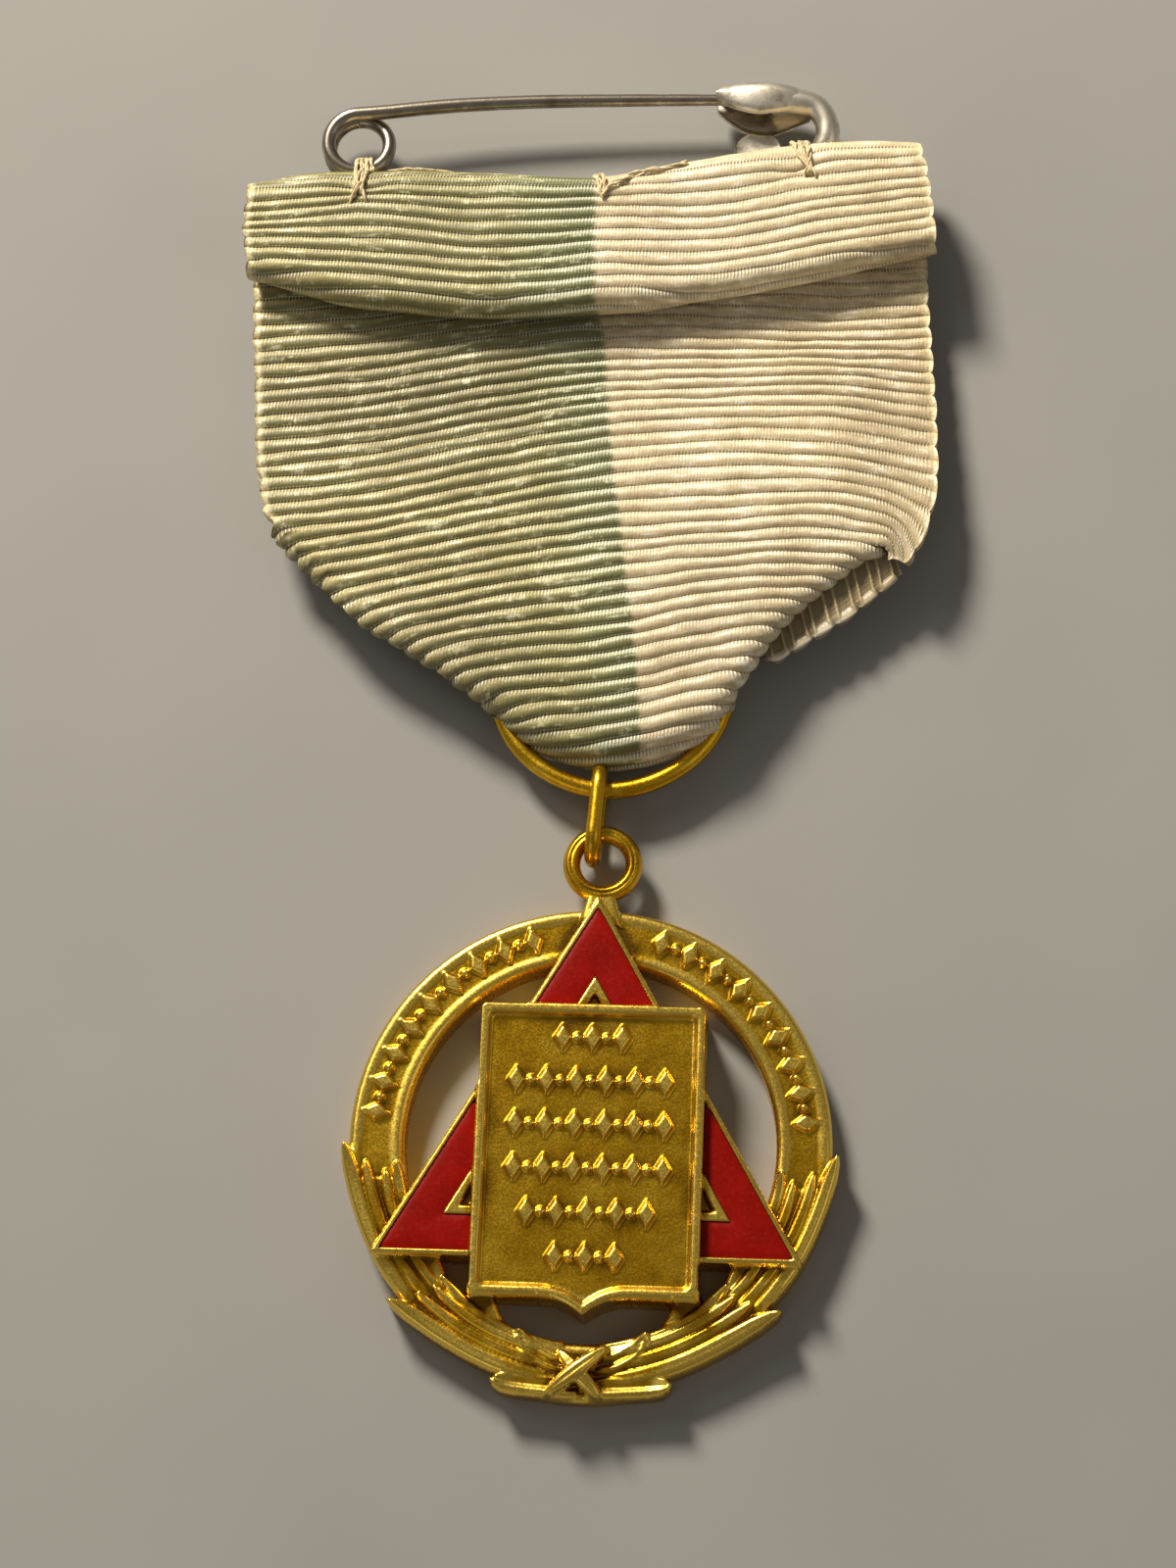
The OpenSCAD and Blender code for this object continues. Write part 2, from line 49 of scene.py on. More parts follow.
# Meshes
def build_mesh(name, part):
    points, quads, tris, data = part
    mesh = bpy.data.meshes.new(name)
    verts = (np.asarray(points, float) - MIDDLE) * MM
    mesh.vertices.add(len(verts))
    mesh.vertices.foreach_set("co", verts.astype(np.float32).ravel())
    corners = np.concatenate([np.ravel(quads), np.ravel(tris)])
    sizes = np.concatenate([np.full(len(quads), 4), np.full(len(tris), 3)])
    starts = np.concatenate([[0], np.cumsum(sizes)[:-1]])
    mesh.loops.add(len(corners))
    mesh.loops.foreach_set("vertex_index", corners.astype(np.int32))
    mesh.polygons.add(len(sizes))
    mesh.polygons.foreach_set("loop_start", starts.astype(np.int32))
    mesh.polygons.foreach_set("loop_total", sizes.astype(np.int32))
    mesh.polygons.foreach_set("use_smooth", np.full(len(sizes), True))
    mesh.update(calc_edges=True)
    for key, value in data.items():
        kind, field = ("FLOAT", "value") if value.ndim == 1 else ("FLOAT_VECTOR", "vector")
        layer = mesh.attributes.new(key, kind, "POINT")
        layer.data.foreach_set(field, value.astype(np.float32).ravel())
    mesh.validate()
    return mesh


def add_object(name, part, material):
    obj = bpy.data.objects.new(name, build_mesh(name, part))
    bpy.context.scene.collection.objects.link(obj)
    obj.data.materials.append(material)
    return obj


def add_piece(name, part, material, replaces=(), body="root"):
    obj = add_object(name, part, material)
    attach(obj, body)
    if replaces:
        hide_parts(*replaces)
    return obj


def grid_quads(rows, cols, base=0, wrap_rows=False, wrap_cols=False, flip=False):
    """Faces of a grid of points that are stored row by row."""
    i = np.arange(rows if wrap_rows else rows - 1)[:, None]
    j = np.arange(cols if wrap_cols else cols - 1)[None, :]
    down, right = (i + 1) % rows, (j + 1) % cols
    corners = (i * cols + j, i * cols + right, down * cols + right, down * cols + j)
    quads = np.stack(np.broadcast_arrays(*corners), -1).reshape(-1, 4) + base
    return quads[:, ::-1] if flip else quads


def unit_rows(vectors):
    return vectors / np.maximum(np.linalg.norm(vectors, axis=-1), 1e-9)[..., None]


def spline(path, per_span):
    """Smooth curve through the rows of path."""
    p = np.asarray(path, float)
    p = np.vstack([2 * p[0] - p[1], p, 2 * p[-1] - p[-2]])
    t = np.linspace(0, 1, per_span, endpoint=False)[:, None]
    out = []
    for a, b, c, d in zip(p, p[1:], p[2:], p[3:]):
        out.append(0.5 * (2 * b + (c - a) * t + (2 * a - 5 * b + 4 * c - d) * t**2
                          + (3 * b - a - 3 * c + d) * t**3))
    out.append(p[-2][None, :])
    return np.vstack(out)


def cumulative(pts):
    """Length along the points, from 0."""
    return np.concatenate([[0], np.cumsum(np.linalg.norm(np.diff(pts, axis=0), axis=1))])


def tube(path, radius, sides=20, closed=False, side=None):
    """Round tube along a path, with one radius or one for each point.
    side is the direction across a path that stands on edge."""
    p = np.asarray(path, float)
    n = len(p)
    head = unit_rows(np.roll(p, -1, 0) - np.roll(p, 1, 0) if closed else np.gradient(p, axis=0))
    if side is None:
        across = np.cross([0, 0, 1.0], head)
        for k in np.flatnonzero(np.linalg.norm(across, axis=1) < 0.05):
            across[k] = across[k - 1] if k else [1, 0, 0]
        across = unit_rows(across - head * np.sum(across * head, 1)[:, None])
    else:
        across = np.broadcast_to(side, p.shape)
    up = np.cross(head, across)
    a = np.linspace(0, FULL_TURN, sides, endpoint=False)[None, :, None]
    ring = across[:, None, :] * np.cos(a) + up[:, None, :] * np.sin(a)
    points = (p[:, None, :] + ring * np.broadcast_to(radius, (n,))[:, None, None]).reshape(-1, 3)
    quads = grid_quads(n, sides, wrap_rows=closed, wrap_cols=True)
    if closed:
        return points, quads, NO_TRIANGLES, {}
    j = np.arange(sides)
    k = (j + 1) % sides
    first, last, end = np.full(sides, n * sides), np.full(sides, n * sides + 1), (n - 1) * sides
    caps = np.vstack([np.stack([first, k, j], -1), np.stack([last, end + j, end + k], -1)])
    return np.vstack([points, p[0], p[-1]]), quads, caps, {}


def join_parts(parts):
    """Joins parts that hold the same point values into one."""
    bases = np.cumsum([0] + [len(part[0]) for part in parts[:-1]])
    points = np.vstack([part[0] for part in parts])
    quads, tris = (np.vstack([part[k] + base for part, base in zip(parts, bases)]) for k in (1, 2))
    data = {key: np.concatenate([part[3][key] for part in parts]) for key in parts[0][3]}
    return points, quads, tris, data


def plain_gilt(part):
    """Wire has no recesses: its cavity value is 0 all over."""
    return part[:3] + ({"cavity": np.zeros(len(part[0]))},)


# Materials
class Nodes:
    """Node tree of one procedural material that ends in a Principled shader."""

    def __init__(self, name):
        self.mat = bpy.data.materials.new(name)
        self.mat.use_nodes = True
        self.mat.node_tree.nodes.clear()
        self.bsdf = self.add("ShaderNodeBsdfPrincipled")
        self.link(self.bsdf.outputs["BSDF"], self.add("ShaderNodeOutputMaterial").inputs["Surface"])
        self.mm = self.scaled(self.add("ShaderNodeTexCoord").outputs["Object"], "SCALE", "Scale", 1 / MM)

    def add(self, kind, **values):
        node = self.mat.node_tree.nodes.new(kind)
        for key, value in values.items():
            setattr(node, key, value)
        return node

    def link(self, source, socket):
        self.mat.node_tree.links.new(source, socket)

    def fill(self, node, **values):
        """Sets or links the node's sockets; an underscore in a name stands for a space."""
        for key, value in values.items():
            self.put(node.inputs[key.replace("_", " ")], value)
        return node.outputs[0]

    def put(self, socket, value):
        if isinstance(value, bpy.types.NodeSocket):
            self.link(value, socket)
        else:
            socket.default_value = value

    def scaled(self, vector, operation, socket, amount):
        node = self.add("ShaderNodeVectorMath", operation=operation)
        self.link(vector, node.inputs[0])
        node.inputs[socket].default_value = amount
        return node.outputs[0]

    def math(self, operation, *values):
        node = self.add("ShaderNodeMath", operation=operation)
        for socket, value in zip(node.inputs, values):
            self.put(socket, value)
        return node.outputs[0]

    def plus(self, a, b):
        return self.math("ADD", a, b)

    def times(self, a, b):
        return self.math("MULTIPLY", a, b)

    def times_plus(self, a, b, c):
        return self.math("MULTIPLY_ADD", a, b, c)

    def attr(self, name, output="Fac"):
        return self.add("ShaderNodeAttribute", attribute_name=name).outputs[output]

    def noise(self, scale, detail=3.0, rough=0.55, distort=0.0, vector=None):
        """Noise with scale waves to the millimetre, or over another vector."""
        node = self.add("ShaderNodeTexNoise")
        return self.fill(node, Vector=vector or self.mm, Scale=scale, Detail=detail, Roughness=rough,
                         Distortion=distort)

    def ramp(self, value, stops):
        node = self.add("ShaderNodeValToRGB")
        elements = node.color_ramp.elements
        while len(elements) < len(stops):
            elements.new(0.5)
        for element, (at, colour) in zip(elements, stops):
            element.position = at
            element.color = (*colour, 1)
        return self.fill(node, Fac=value)

    def span(self, value, lo, hi, out_lo=0.0, out_hi=1.0):
        """Smooth step from out_lo at lo to out_hi at hi."""
        node = self.add("ShaderNodeMapRange", interpolation_type="SMOOTHSTEP")
        return self.fill(node, Value=value, From_Min=lo, From_Max=hi, To_Min=out_lo, To_Max=out_hi)

    def mix(self, share, a, b, blend="MIX"):
        node = self.add("ShaderNodeMix", data_type="RGBA", blend_type=blend)
        self.put(node.inputs[0], share)
        for socket, colour in ((node.inputs[6], a), (node.inputs[7], b)):
            self.put(socket, (*colour, 1) if isinstance(colour, tuple) else colour)
        return node.outputs[2]

    def bump(self, height, distance_mm, strength, normal=None):
        node = self.add("ShaderNodeBump")
        if normal is not None:
            self.link(normal, node.inputs["Normal"])
        return self.fill(node, Height=height, Distance=distance_mm * MM, Strength=strength)

    def finish(self, **values):
        self.fill(self.bsdf, **values)
        return self.mat


# Colours of the cloth from its left to its right woven edge, as shares of CLOTH_SPAN
CLOTH_SPAN = 36
DYE_STOPS = [
    (0.00, (0.66, 0.56, 0.235)), (0.12, (0.55, 0.475, 0.180)), (0.34, (0.50, 0.45, 0.165)),
    (0.41, (0.38, 0.41, 0.16)), (0.496, (0.20, 0.25, 0.085)), (0.508, (0.97, 0.84, 0.57)),
    (0.62, (0.98, 0.86, 0.61)), (0.86, (0.96, 0.82, 0.54)), (1.00, (0.90, 0.74, 0.45))]
FADED, STAINED, SOIL_AND_SHADE_COLOUR = (0.90, 0.80, 0.50), (0.42, 0.25, 0.11), (0.165, 0.124, 0.050)
# Painted sheen and painted highlights, mixed into the cloth's colour by its shine noise, its stripe and its
# yarn beads
PAINTED_SHEEN_STOPS = [(0.60, (0.46, 0.43, 0.34)), (0.84, (0.80, 0.78, 0.72)), (1.0, (1.0, 1.0, 1.0))]
STRIPE_HIGHLIGHT, BEAD_HIGHLIGHT = (1.0, 1.0, 0.74), (1.0, 0.96, 0.78)
DARK_FUZZ, PALE_FUZZ = (0.62, 0.50, 0.26), (0.90, 0.78, 0.50)
# Pairs for the green and the cream half: painted shade under the ribs, painted highlight, painted shade
# between the yarns and in the grooves
UNDERSIDE_SHADE = (0.105, 0.104, 0.028), (0.46, 0.345, 0.185)
PAINTED_HIGHLIGHT = (1.0, 0.96, 0.66), (1.0, 0.96, 0.82)
YARN_GAP_SHADE = (0.17, 0.15, 0.045), (0.40, 0.28, 0.15)
GROOVE_SHADE = (0.085, 0.085, 0.024), (0.48, 0.36, 0.20)
# Distance between warp yarns, and how far a rib's lit side starts before its groove
YARN_PITCH = 0.175
RIB_SHIFT = 0.12


def cloth_dye(n, wide):
    """Woven colours, faded and stained, then darkened by soil and by painted shade."""
    dye = n.ramp(wide, DYE_STOPS)
    fade = n.span(n.noise(0.15, 4, 0.6), 0.42, 0.66)
    dye = n.mix(n.times(fade, 0.20), dye, FADED)
    stain = n.span(n.noise(0.33, 3, 0.6, 0.4), 0.55, 0.76)
    dye = n.mix(n.times(stain, 0.26), dye, STAINED)
    return n.mix(n.attr("soil_and_shade"), dye, SOIL_AND_SHADE_COLOUR)


def cloth_shine(n):
    """Noise of silky streaks along each cord and of each yarn's own brightness: it paints sheen and
    highlights into the cloth's colour and sets its roughness.
    """
    def stretched(x_scale, rib_scale, detail):
        along = n.scaled(n.attr("weave", "Vector"), "MULTIPLY", 1, (x_scale, rib_scale, 0.0))
        return n.noise(1.0, detail, 0.6, vector=along)

    streak, yarns = stretched(0.7, 2.4, 4), stretched(5.5, 1.6, 1)
    return n.plus(n.times_plus(yarns, 0.30, streak), n.times(n.noise(0.28, 2), 0.45))


def cloth_material():
    """Grosgrain with fine warp yarns over its ribs.
    The weave attribute holds mm across the cloth, the rib number and mm from the woven edge."""
    n = Nodes("grosgrain_cloth")
    weave = n.add("ShaderNodeSeparateXYZ")
    n.link(n.attr("weave", "Vector"), weave.inputs[0])
    across, rib, from_edge = weave.outputs
    frayed = n.times(n.math("SUBTRACT", n.noise(0.9), 0.5), 0.35)
    wide = n.times_plus(n.plus(n.attr("dye"), frayed), 1 / CLOTH_SPAN, 0.5)
    dye, shine = cloth_dye(n, wide), cloth_shine(n)
    # painted sheen: the shine noise lightens and darkens the colour in streaks
    dye = n.mix(1.0, dye, n.ramp(shine, PAINTED_SHEEN_STOPS), "MULTIPLY")
    # painted shade: each rib's lower flank, turned away from the light above, is darkened; less so on the
    # cream half, whose groove shade is painted tan
    cream = n.span(wide, 0.500, 0.512)
    shifted = n.plus(rib, RIB_SHIFT)
    phase = n.math("FRACT", shifted)
    # painted shade on the lower flank of each rib
    below = n.times(n.span(phase, 0.30, 0.90), n.times_plus(cream, -0.34, 0.84))
    dye = n.mix(below, dye, n.mix(cream, *UNDERSIDE_SHADE))
    # painted highlight: where the shine noise is strongest the colour turns pale
    dye = n.mix(n.span(shine, 0.93, 1.14, 0.0, 0.62), dye, n.mix(cream, *PAINTED_HIGHLIGHT))
    # painted highlight: the green stripe is painted white on each rib's upper, lit side
    stripe = n.times(n.span(wide, 0.34, 0.45), n.math("SUBTRACT", 1.0, cream))
    lit_upper_side = n.times(n.span(phase, 0.0, 0.10), n.span(phase, 0.34, 0.58, 1.0, 0.0))
    dye = n.mix(n.times(n.times(stripe, lit_upper_side), 0.50), dye, STRIPE_HIGHLIGHT)
    # warp yarns on a rib's upper flank: painted highlights on the beads and painted shade in the dark dots
    # between them in the groove
    turn = n.times(n.math("FLOOR", shifted), math.pi)
    wander = n.times_plus(n.noise(1.1, 2), 1.6, turn)
    yarn = n.math("SINE", n.times_plus(across, FULL_TURN / YARN_PITCH, wander))
    flank = n.times(n.span(phase, 0.0, 0.08), n.span(phase, 0.30, 0.50, 1.0, 0.0))
    flank = n.times(flank, n.span(from_edge, 0.30, 0.55))
    strong = n.times(flank, n.span(n.noise(1.6, 2), 0.35, 0.62, 0.35, 1.0))
    dye = n.mix(n.times(strong, n.span(yarn, -0.2, 0.6, 0.0, 0.62)), dye, BEAD_HIGHLIGHT)
    dye = n.mix(n.times(strong, n.span(yarn, 0.0, -0.8, 0.0, 0.62)), dye, n.mix(cream, *YARN_GAP_SHADE))
    # painted shade in the groove between the ribs, tan on the cream half
    middle = n.math("ABSOLUTE", n.times_plus(n.math("FRACT", rib), 2.0, -1.0))
    uneven = n.times_plus(yarn, -0.07, middle)
    dye = n.mix(n.span(uneven, 0.76, 1.0, 0.0, 0.70), dye, n.mix(cream, *GROOVE_SHADE))
    ragged = n.times_plus(n.noise(4.0, 2), 0.4, from_edge)
    fuzz = n.mix(n.span(n.noise(7.0, 2), 0.4, 0.6), DARK_FUZZ, PALE_FUZZ)
    dye = n.mix(n.span(ragged, 0.62, 0.34, 0.0, 0.7), dye, fuzz)
    tooth = n.bump(n.times(yarn, n.times_plus(flank, 0.88, 0.12)), 0.03, 0.9)
    return n.finish(Base_Color=dye, Roughness=n.span(shine, 0.7, 1.1, 0.52, 0.33), Specular_IOR_Level=0.7,
                    Sheen_Weight=0.08, Sheen_Roughness=0.4, Normal=n.bump(n.noise(9.0), 0.03, 0.7, tooth))


def gilt_material(name, matt=0.0):
    """Satin gilding: brown patina and painted shade in the recesses, and edges worn bright with a painted
    highlight.
    """
    n = Nodes(name)
    blotch, grain = n.noise(0.55, 4, 0.6), n.noise(9.0, 3, 0.6)
    gold = n.ramp(blotch, [(0.25, (0.53, 0.275, 0.009)), (0.5, (0.70, 0.395, 0.018)),
                           (0.75, (0.86, 0.54, 0.040))])
    deep = n.plus(n.attr("cavity"), n.times(n.math("SUBTRACT", blotch, 0.5), 0.12))
    # patina and painted shade: the recesses turn dark brown
    gold = n.mix(n.span(deep, -0.02, -0.14, 0.0, 0.82), gold, (0.17, 0.075, 0.012))
    # wear and painted highlight: the edges turn bright yellow
    gold = n.mix(n.span(deep, 0.03, 0.12, 0.0, 0.70), gold, (1.0, 0.72, 0.14))
    specks = n.times(n.span(n.noise(3.2, 2, 0.5), 0.66, 0.80), 0.22)
    gold = n.mix(specks, gold, (0.22, 0.11, 0.02))
    rough = n.bump(grain, 0.009, 0.7)
    gloss = n.span(grain, 0.3, 0.7, 0.23 + matt, 0.35 + matt)
    return n.finish(Base_Color=gold, Metallic=1.0, Roughness=gloss,
                    Normal=n.bump(n.noise(0.9, 2), 0.06, 0.5, rough))


def enamel_material():
    """Deep red enamel with a slight grain."""
    n = Nodes("red_enamel")
    grain = n.noise(5.0, 3, 0.6)
    red = n.ramp(n.noise(0.8), [(0.3, (0.185, 0.0026, 0.0004)), (0.7, (0.25, 0.0038, 0.0008))])
    red = n.mix(n.span(grain, 0.55, 0.75, 0, 0.35), red, (0.42, 0.008, 0.004))
    return n.finish(Base_Color=red, Roughness=n.span(grain, 0.3, 0.7, 0.28, 0.45), Specular_IOR_Level=0.10,
                    Coat_Weight=0.06, Coat_Roughness=0.15, Normal=n.bump(grain, 0.012, 0.7))


def steel_material(name, pale=0.0):
    """Worn nickel plate on steel; pale mixes in pale patches and makes it rougher, and the cap's copy is
    painted paler for the light that falls on it.
    """
    n = Nodes(name)
    wear, fine = n.noise(0.7, 4, 0.62), n.noise(7.0)
    tone = n.ramp(wear, [(0.3, (0.20, 0.165, 0.125)), (0.5, (0.36, 0.31, 0.245)),
                         (0.72, (0.54, 0.49, 0.41))])
    tone = n.mix(n.span(wear, 0.36, 0.50, 0.35 * pale, pale), tone, (0.86, 0.80, 0.67))
    tone = n.mix(n.span(fine, 0.62, 0.75, 0, 0.5), tone, (0.16, 0.12, 0.08))
    rough = n.span(wear, 0.3, 0.7, 0.34 + 0.16 * pale, 0.24 + 0.16 * pale)
    return n.finish(Base_Color=tone, Metallic=1.0, Roughness=rough, Normal=n.bump(fine, 0.01, 0.6))


def thread_material():
    n = Nodes("tack_thread")
    fibre = n.noise(8.0)
    tan = n.ramp(fibre, [(0.3, (0.52, 0.41, 0.20)), (0.7, (0.84, 0.70, 0.43))])
    return n.finish(Base_Color=tan, Roughness=0.75, Sheen_Weight=0.3, Normal=n.bump(fibre, 0.02, 0.8))


def floor_material():
    n = Nodes("pale_floor")
    tone = n.ramp(n.noise(0.05, 2), [(0.3, (0.288, 0.283, 0.267)), (0.7, (0.308, 0.302, 0.284))])
    return n.finish(Base_Color=tone, Roughness=0.85, Specular_IOR_Level=0.2)


CLOTH = cloth_material()
GILT = gilt_material("satin_gilt")
WIRE_GILT = gilt_material("gilt_wire", 0.02)
ENAMEL = enamel_material()
STEEL = steel_material("worn_nickel")
# paler copy of the same nickel: painted light for the brightly lit cap
LIT_CAP_STEEL = steel_material("worn_cap_lit", 0.75)
THREAD = thread_material()
FLOOR = floor_material()

# Ribbon
# Rib lines of the front panel, from under the band down past the ring.
# Columns: rib number, then y at each of the stations across the cloth.
STATIONS = np.array([-17.4, -11, -5, 1, 7, 13, 18.0])
PANEL_RIBS = np.array([
    [-9, 29.20, 29.60, 30.40, 30.80, 30.60, 30.20, 30.30],
    [-3, 24.75, 25.15, 25.95, 26.45, 26.20, 25.85, 26.00],
    [0, 22.45, 22.91, 23.80, 24.35, 24.13, 23.79, 23.97],
    [4, 19.40, 20.00, 21.07, 21.78, 21.80, 21.78, 21.30],
    [8, 16.40, 17.08, 18.29, 19.30, 19.55, 19.45, 18.45],
    [12, 13.45, 14.08, 15.31, 16.36, 16.80, 16.43, 15.25],
    [16, 10.55, 11.31, 12.43, 13.33, 13.62, 13.72, 12.20],
    [20, 7.50, 8.43, 9.60, 10.46, 11.03, 11.11, 10.00],
    [24, 4.60, 5.60, 6.77, 7.40, 8.45, 8.55, 7.60],
    [28, 1.60, 2.60, 3.84, 4.35, 5.50, 5.85, 5.20],
    [32, -1.30, -0.30, 0.90, 1.32, 2.50, 3.10, 2.60],
    [36, -4.20, -3.20, -2.10, -1.70, -0.45, 0.20, 0.00]])
# Rib lines of the band, counted on from the fold at its top edge down to the hem
BAND_RIBS = np.array([
    [-3, 35.0, 35.1, 35.0, 34.8, 35.6, 36.3, 36.4],
    [0, 32.50, 32.75, 32.60, 32.35, 33.10, 33.85, 33.80],
    [2, 31.45, 31.70, 31.50, 31.35, 31.75, 32.55, 32.75],
    [4, 30.35, 30.60, 30.15, 30.25, 30.25, 31.10, 31.60],
    [6, 29.30, 29.35, 28.70, 28.95, 28.90, 29.90, 30.40],
    [8, 28.30, 27.90, 27.25, 27.60, 27.55, 28.55, 29.20],
    [10, 27.05, 26.55, 25.90, 26.25, 26.25, 27.30, 27.95],
    [12, 25.75, 25.15, 24.45, 24.85, 24.80, 25.90, 26.55],
    [15, 23.65, 23.00, 22.30, 22.70, 22.65, 23.75, 24.40]])
CORD_SAMPLES = np.array([0, 0.05, 0.13, 0.26, 0.42, 0.58, 0.74, 0.87, 0.95])
# Height of the ribs, thickness of the cloth, and how far it lies above the solid's middle
RIB_H = 0.125
WALL = 0.56
LIFT = 0.16
BAND_RIB_H = 0.72 * RIB_H
# How far the cloth's face lies past the middle of its wall where the ribs are pressed
SKIN = WALL / 2 + 0.6 * RIB_H
# Heights of the cloth's middle: on the back, lowest in a fold, under the band, on the band's face,
# inside the hem, and where the panel turns round the ring
BACK_Z, FOLD_Z, PANEL_TOP_Z, BAND_Z = 0.42, 0.40, 1.7, 3.9
HEM_Z, RING_TURN_Z = 2.72, 2.9

# Soft bumps. Columns: height, middle x and y, half sizes along and across, turn in degrees.
PANEL_LUMPS = [(0.16, 8.0, 7.0, 6.0, 1.3, 62), (-0.18, 11.5, 10.5, 4.0, 1.6, 40),
               (0.10, -9.5, 15.0, 5.0, 1.4, 25), (-0.08, -6.0, 19.0, 5.0, 1.5, 15),
               (-0.10, 3.0, 20.5, 7.0, 1.2, -5), (-0.10, 7.0, 5.5, 0.5, 5.0, 35)]
BAND_LUMPS = [(0.05, -8, 29, 6, 2.0, -8), (-0.07, 4, 29, 4, 3, 0)]
# Worn and soiled places, and painted shade such as the strip in the band's shadow below its hem, with the
# same columns
SOIL_AND_SHADE = [(0.60, -9.5, 20.4, 10.5, 4.4, 4.0), (0.42, -8.0, 5.5, 6.0, 3.2, -32.0),
        (0.50, 15.5, 18.0, 3.4, 5.5, 0.0), (0.16, -4.6, 6.1, 3.0, 2.5, 0.0), (0.14, 4.8, 5.7, 4.0, 2.5, 0.0),
        (0.20, 9.0, 7.5, 4.5, 3.0, 45.0), (0.30, 4.0, 24.6, 12.0, 1.1, 2.0),
        (0.20, -8.5, 29.5, 3.0, 2.4, 0.0), (0.26, 1.5, 2.0, 4.0, 1.6, 0.0)]
# Places where a thread or the fold pulls the ribs together. Columns: middle x and y, pull, half sizes.
PINCHES = [(10.95, 32.0, 0.55, 1.1, 0.9), (-11.6, 31.3, 0.35, 1.3, 0.9), (-17.2, 32.0, 0.7, 1.9, 0.55)]
# Uneven surface. Columns: height, random seed, size of the waves.
PANEL_WAVES = [(0.055, 3, 4.0), (0.03, 4, 1.9)]
BAND_WAVES = [(0.05, 9, 4.2), (0.025, 10, 1.9)]

# Curves, as keys and values: the panel's height by y, the lowest y where it turns up inside the ring by x,
# x where green meets cream by y, how much the green half is squeezed by y, the fanned ribs' right end by
# how far they pass from the fan's middle, the band's ends by rib, and y of its top edge and hem by x
PANEL_Z = [0, 10, 13, 15.5, 18.5, 22, 26, 40], [2.9, 2.9, 2.86, 2.62, 2.18, 1.86, 1.72, PANEL_TOP_Z]
LOWEST_Y = [-5.2, -3.0, -0.8, 1.4, 3.8, 5.3, 6.6, 8.4], [3.6, 1.55, 0.50, 0.22, 0.62, 1.22, 2.05, 4.6]
COLOUR_EDGE = ([2, 5.1, 8.2, 11.4, 14.8, 19.4, 24, 25.2, 32],
               [2.6, 2.42, 2.13, 1.74, 1.39, 0.97, 0.72, 0.39, 0.5])
GREEN_SQUEEZE = [3, 20, 25, 27], [1.9, 1.6, 1.1, 1.0]
RIGHT_X = [0.3, 0.75, 1.6, 3.0, 9.0, 14.0], [16.75, 17.2, 17.7, 17.9, 17.95, 17.75]
BAND_LEFT = [-3, 0, 3, 6, 9, 12, 15], [-17.5, -17.55, -17.7, -17.8, -17.6, -17.35, -17.2]
BAND_RIGHT = [-3, 0, 3, 6, 9, 12, 15], [17.3, 17.4, 17.75, 17.95, 18.1, 18.15, 18.0]
BAND_TOP_Y = ([-17.7, -13.3, -5.7, 0.5, 4.3, 8.0, 11.0, 14.3, 17.5],
              [32.80, 33.10, 32.88, 32.45, 33.05, 33.65, 34.10, 34.25, 34.10])
HEM_Y = ([-17.8, -15.4, -13.2, -11.5, -9.4, -7.2, -4.6, -1.2, 2.2, 6.1, 11.0, 15.1, 18.2],
         [26.95, 26.26, 25.50, 25.12, 24.84, 24.58, 24.46, 24.45, 24.60, 25.18, 25.98, 26.95, 27.60])
# Outlines in plan, as x and y
LEFT_EDGE = [(-4.55, 2.5), (-16.45, 13.9), (-16.95, 17.0), (-17.1, 20.0), (-17.35, 24.0), (-17.45, 28.0)]
LEFT_OUTLINE = [(-16.25, 13.6), (-15.85, 12.28), (-14.33, 10.52), (-11.98, 7.98), (-8.47, 5.73),
                (-6.2, 4.1), (-4.57, 2.94), (-3.6, 2.1)]
CREASE_OUTLINE = [(15.9, 11.55), (15.19, 11.16), (14.04, 10.75), (13.04, 9.98), (12.03, 9.2), (11.03, 8.32),
                  (10.02, 7.28), (9.12, 6.09), (8.51, 5.13), (7.75, 4.1), (7.41, 3.32), (7.2, 2.4)]
BACK_LEFT = [(-3.4, 3.2), (-6.6, 6.0), (-11.0, 10.2), (-14.9, 14.0), (-16.6, 18.0), (-16.9, 32.0)]
BACK_RIGHT = [(6.2, 3.2), (8.2, 6.0), (11.6, 10.2), (15.6, 14.0), (17.0, 18.0), (17.1, 32.0)]
BACK_ENDS = 3.2, 31.6
# The front panel's two parts meet at a rib, and the lower one is tucked under the upper one.
# The upper one's ribs turn down about a point near the right corner, by up to FAN_TURN radians.
TOP_RIB, SEAM_RIB, LAST_RIB = -9, 19, 37.2
TUCK, TUCK_DEPTH = 0.62, 0.14
FAN_X, FAN_Y = 15.0, 11.05
FAN_TURN, FAN_DROP = 1.85, 0.92
# Right corner: the cloth's woven edge comes out again under the crease.
# Columns: ribs past the seam, x and y at the woven edge, x and y under the panel.
FLAP = np.array([
    [-0.6, 16.10, 10.45, 15.35, 12.0], [1, 15.35, 9.66, 14.95, 12.1], [3, 14.34, 8.86, 13.75, 11.6],
    [5, 13.27, 7.97, 12.6, 10.9], [7, 12.01, 7.21, 11.35, 10.1], [9, 10.95, 6.57, 10.3, 9.4],
    [11, 9.80, 5.86, 9.2, 8.6], [12.3, 9.15, 5.72, 8.6, 8.2]])
FLAP_WALL = 0.5
FLAP_Z = 1.95


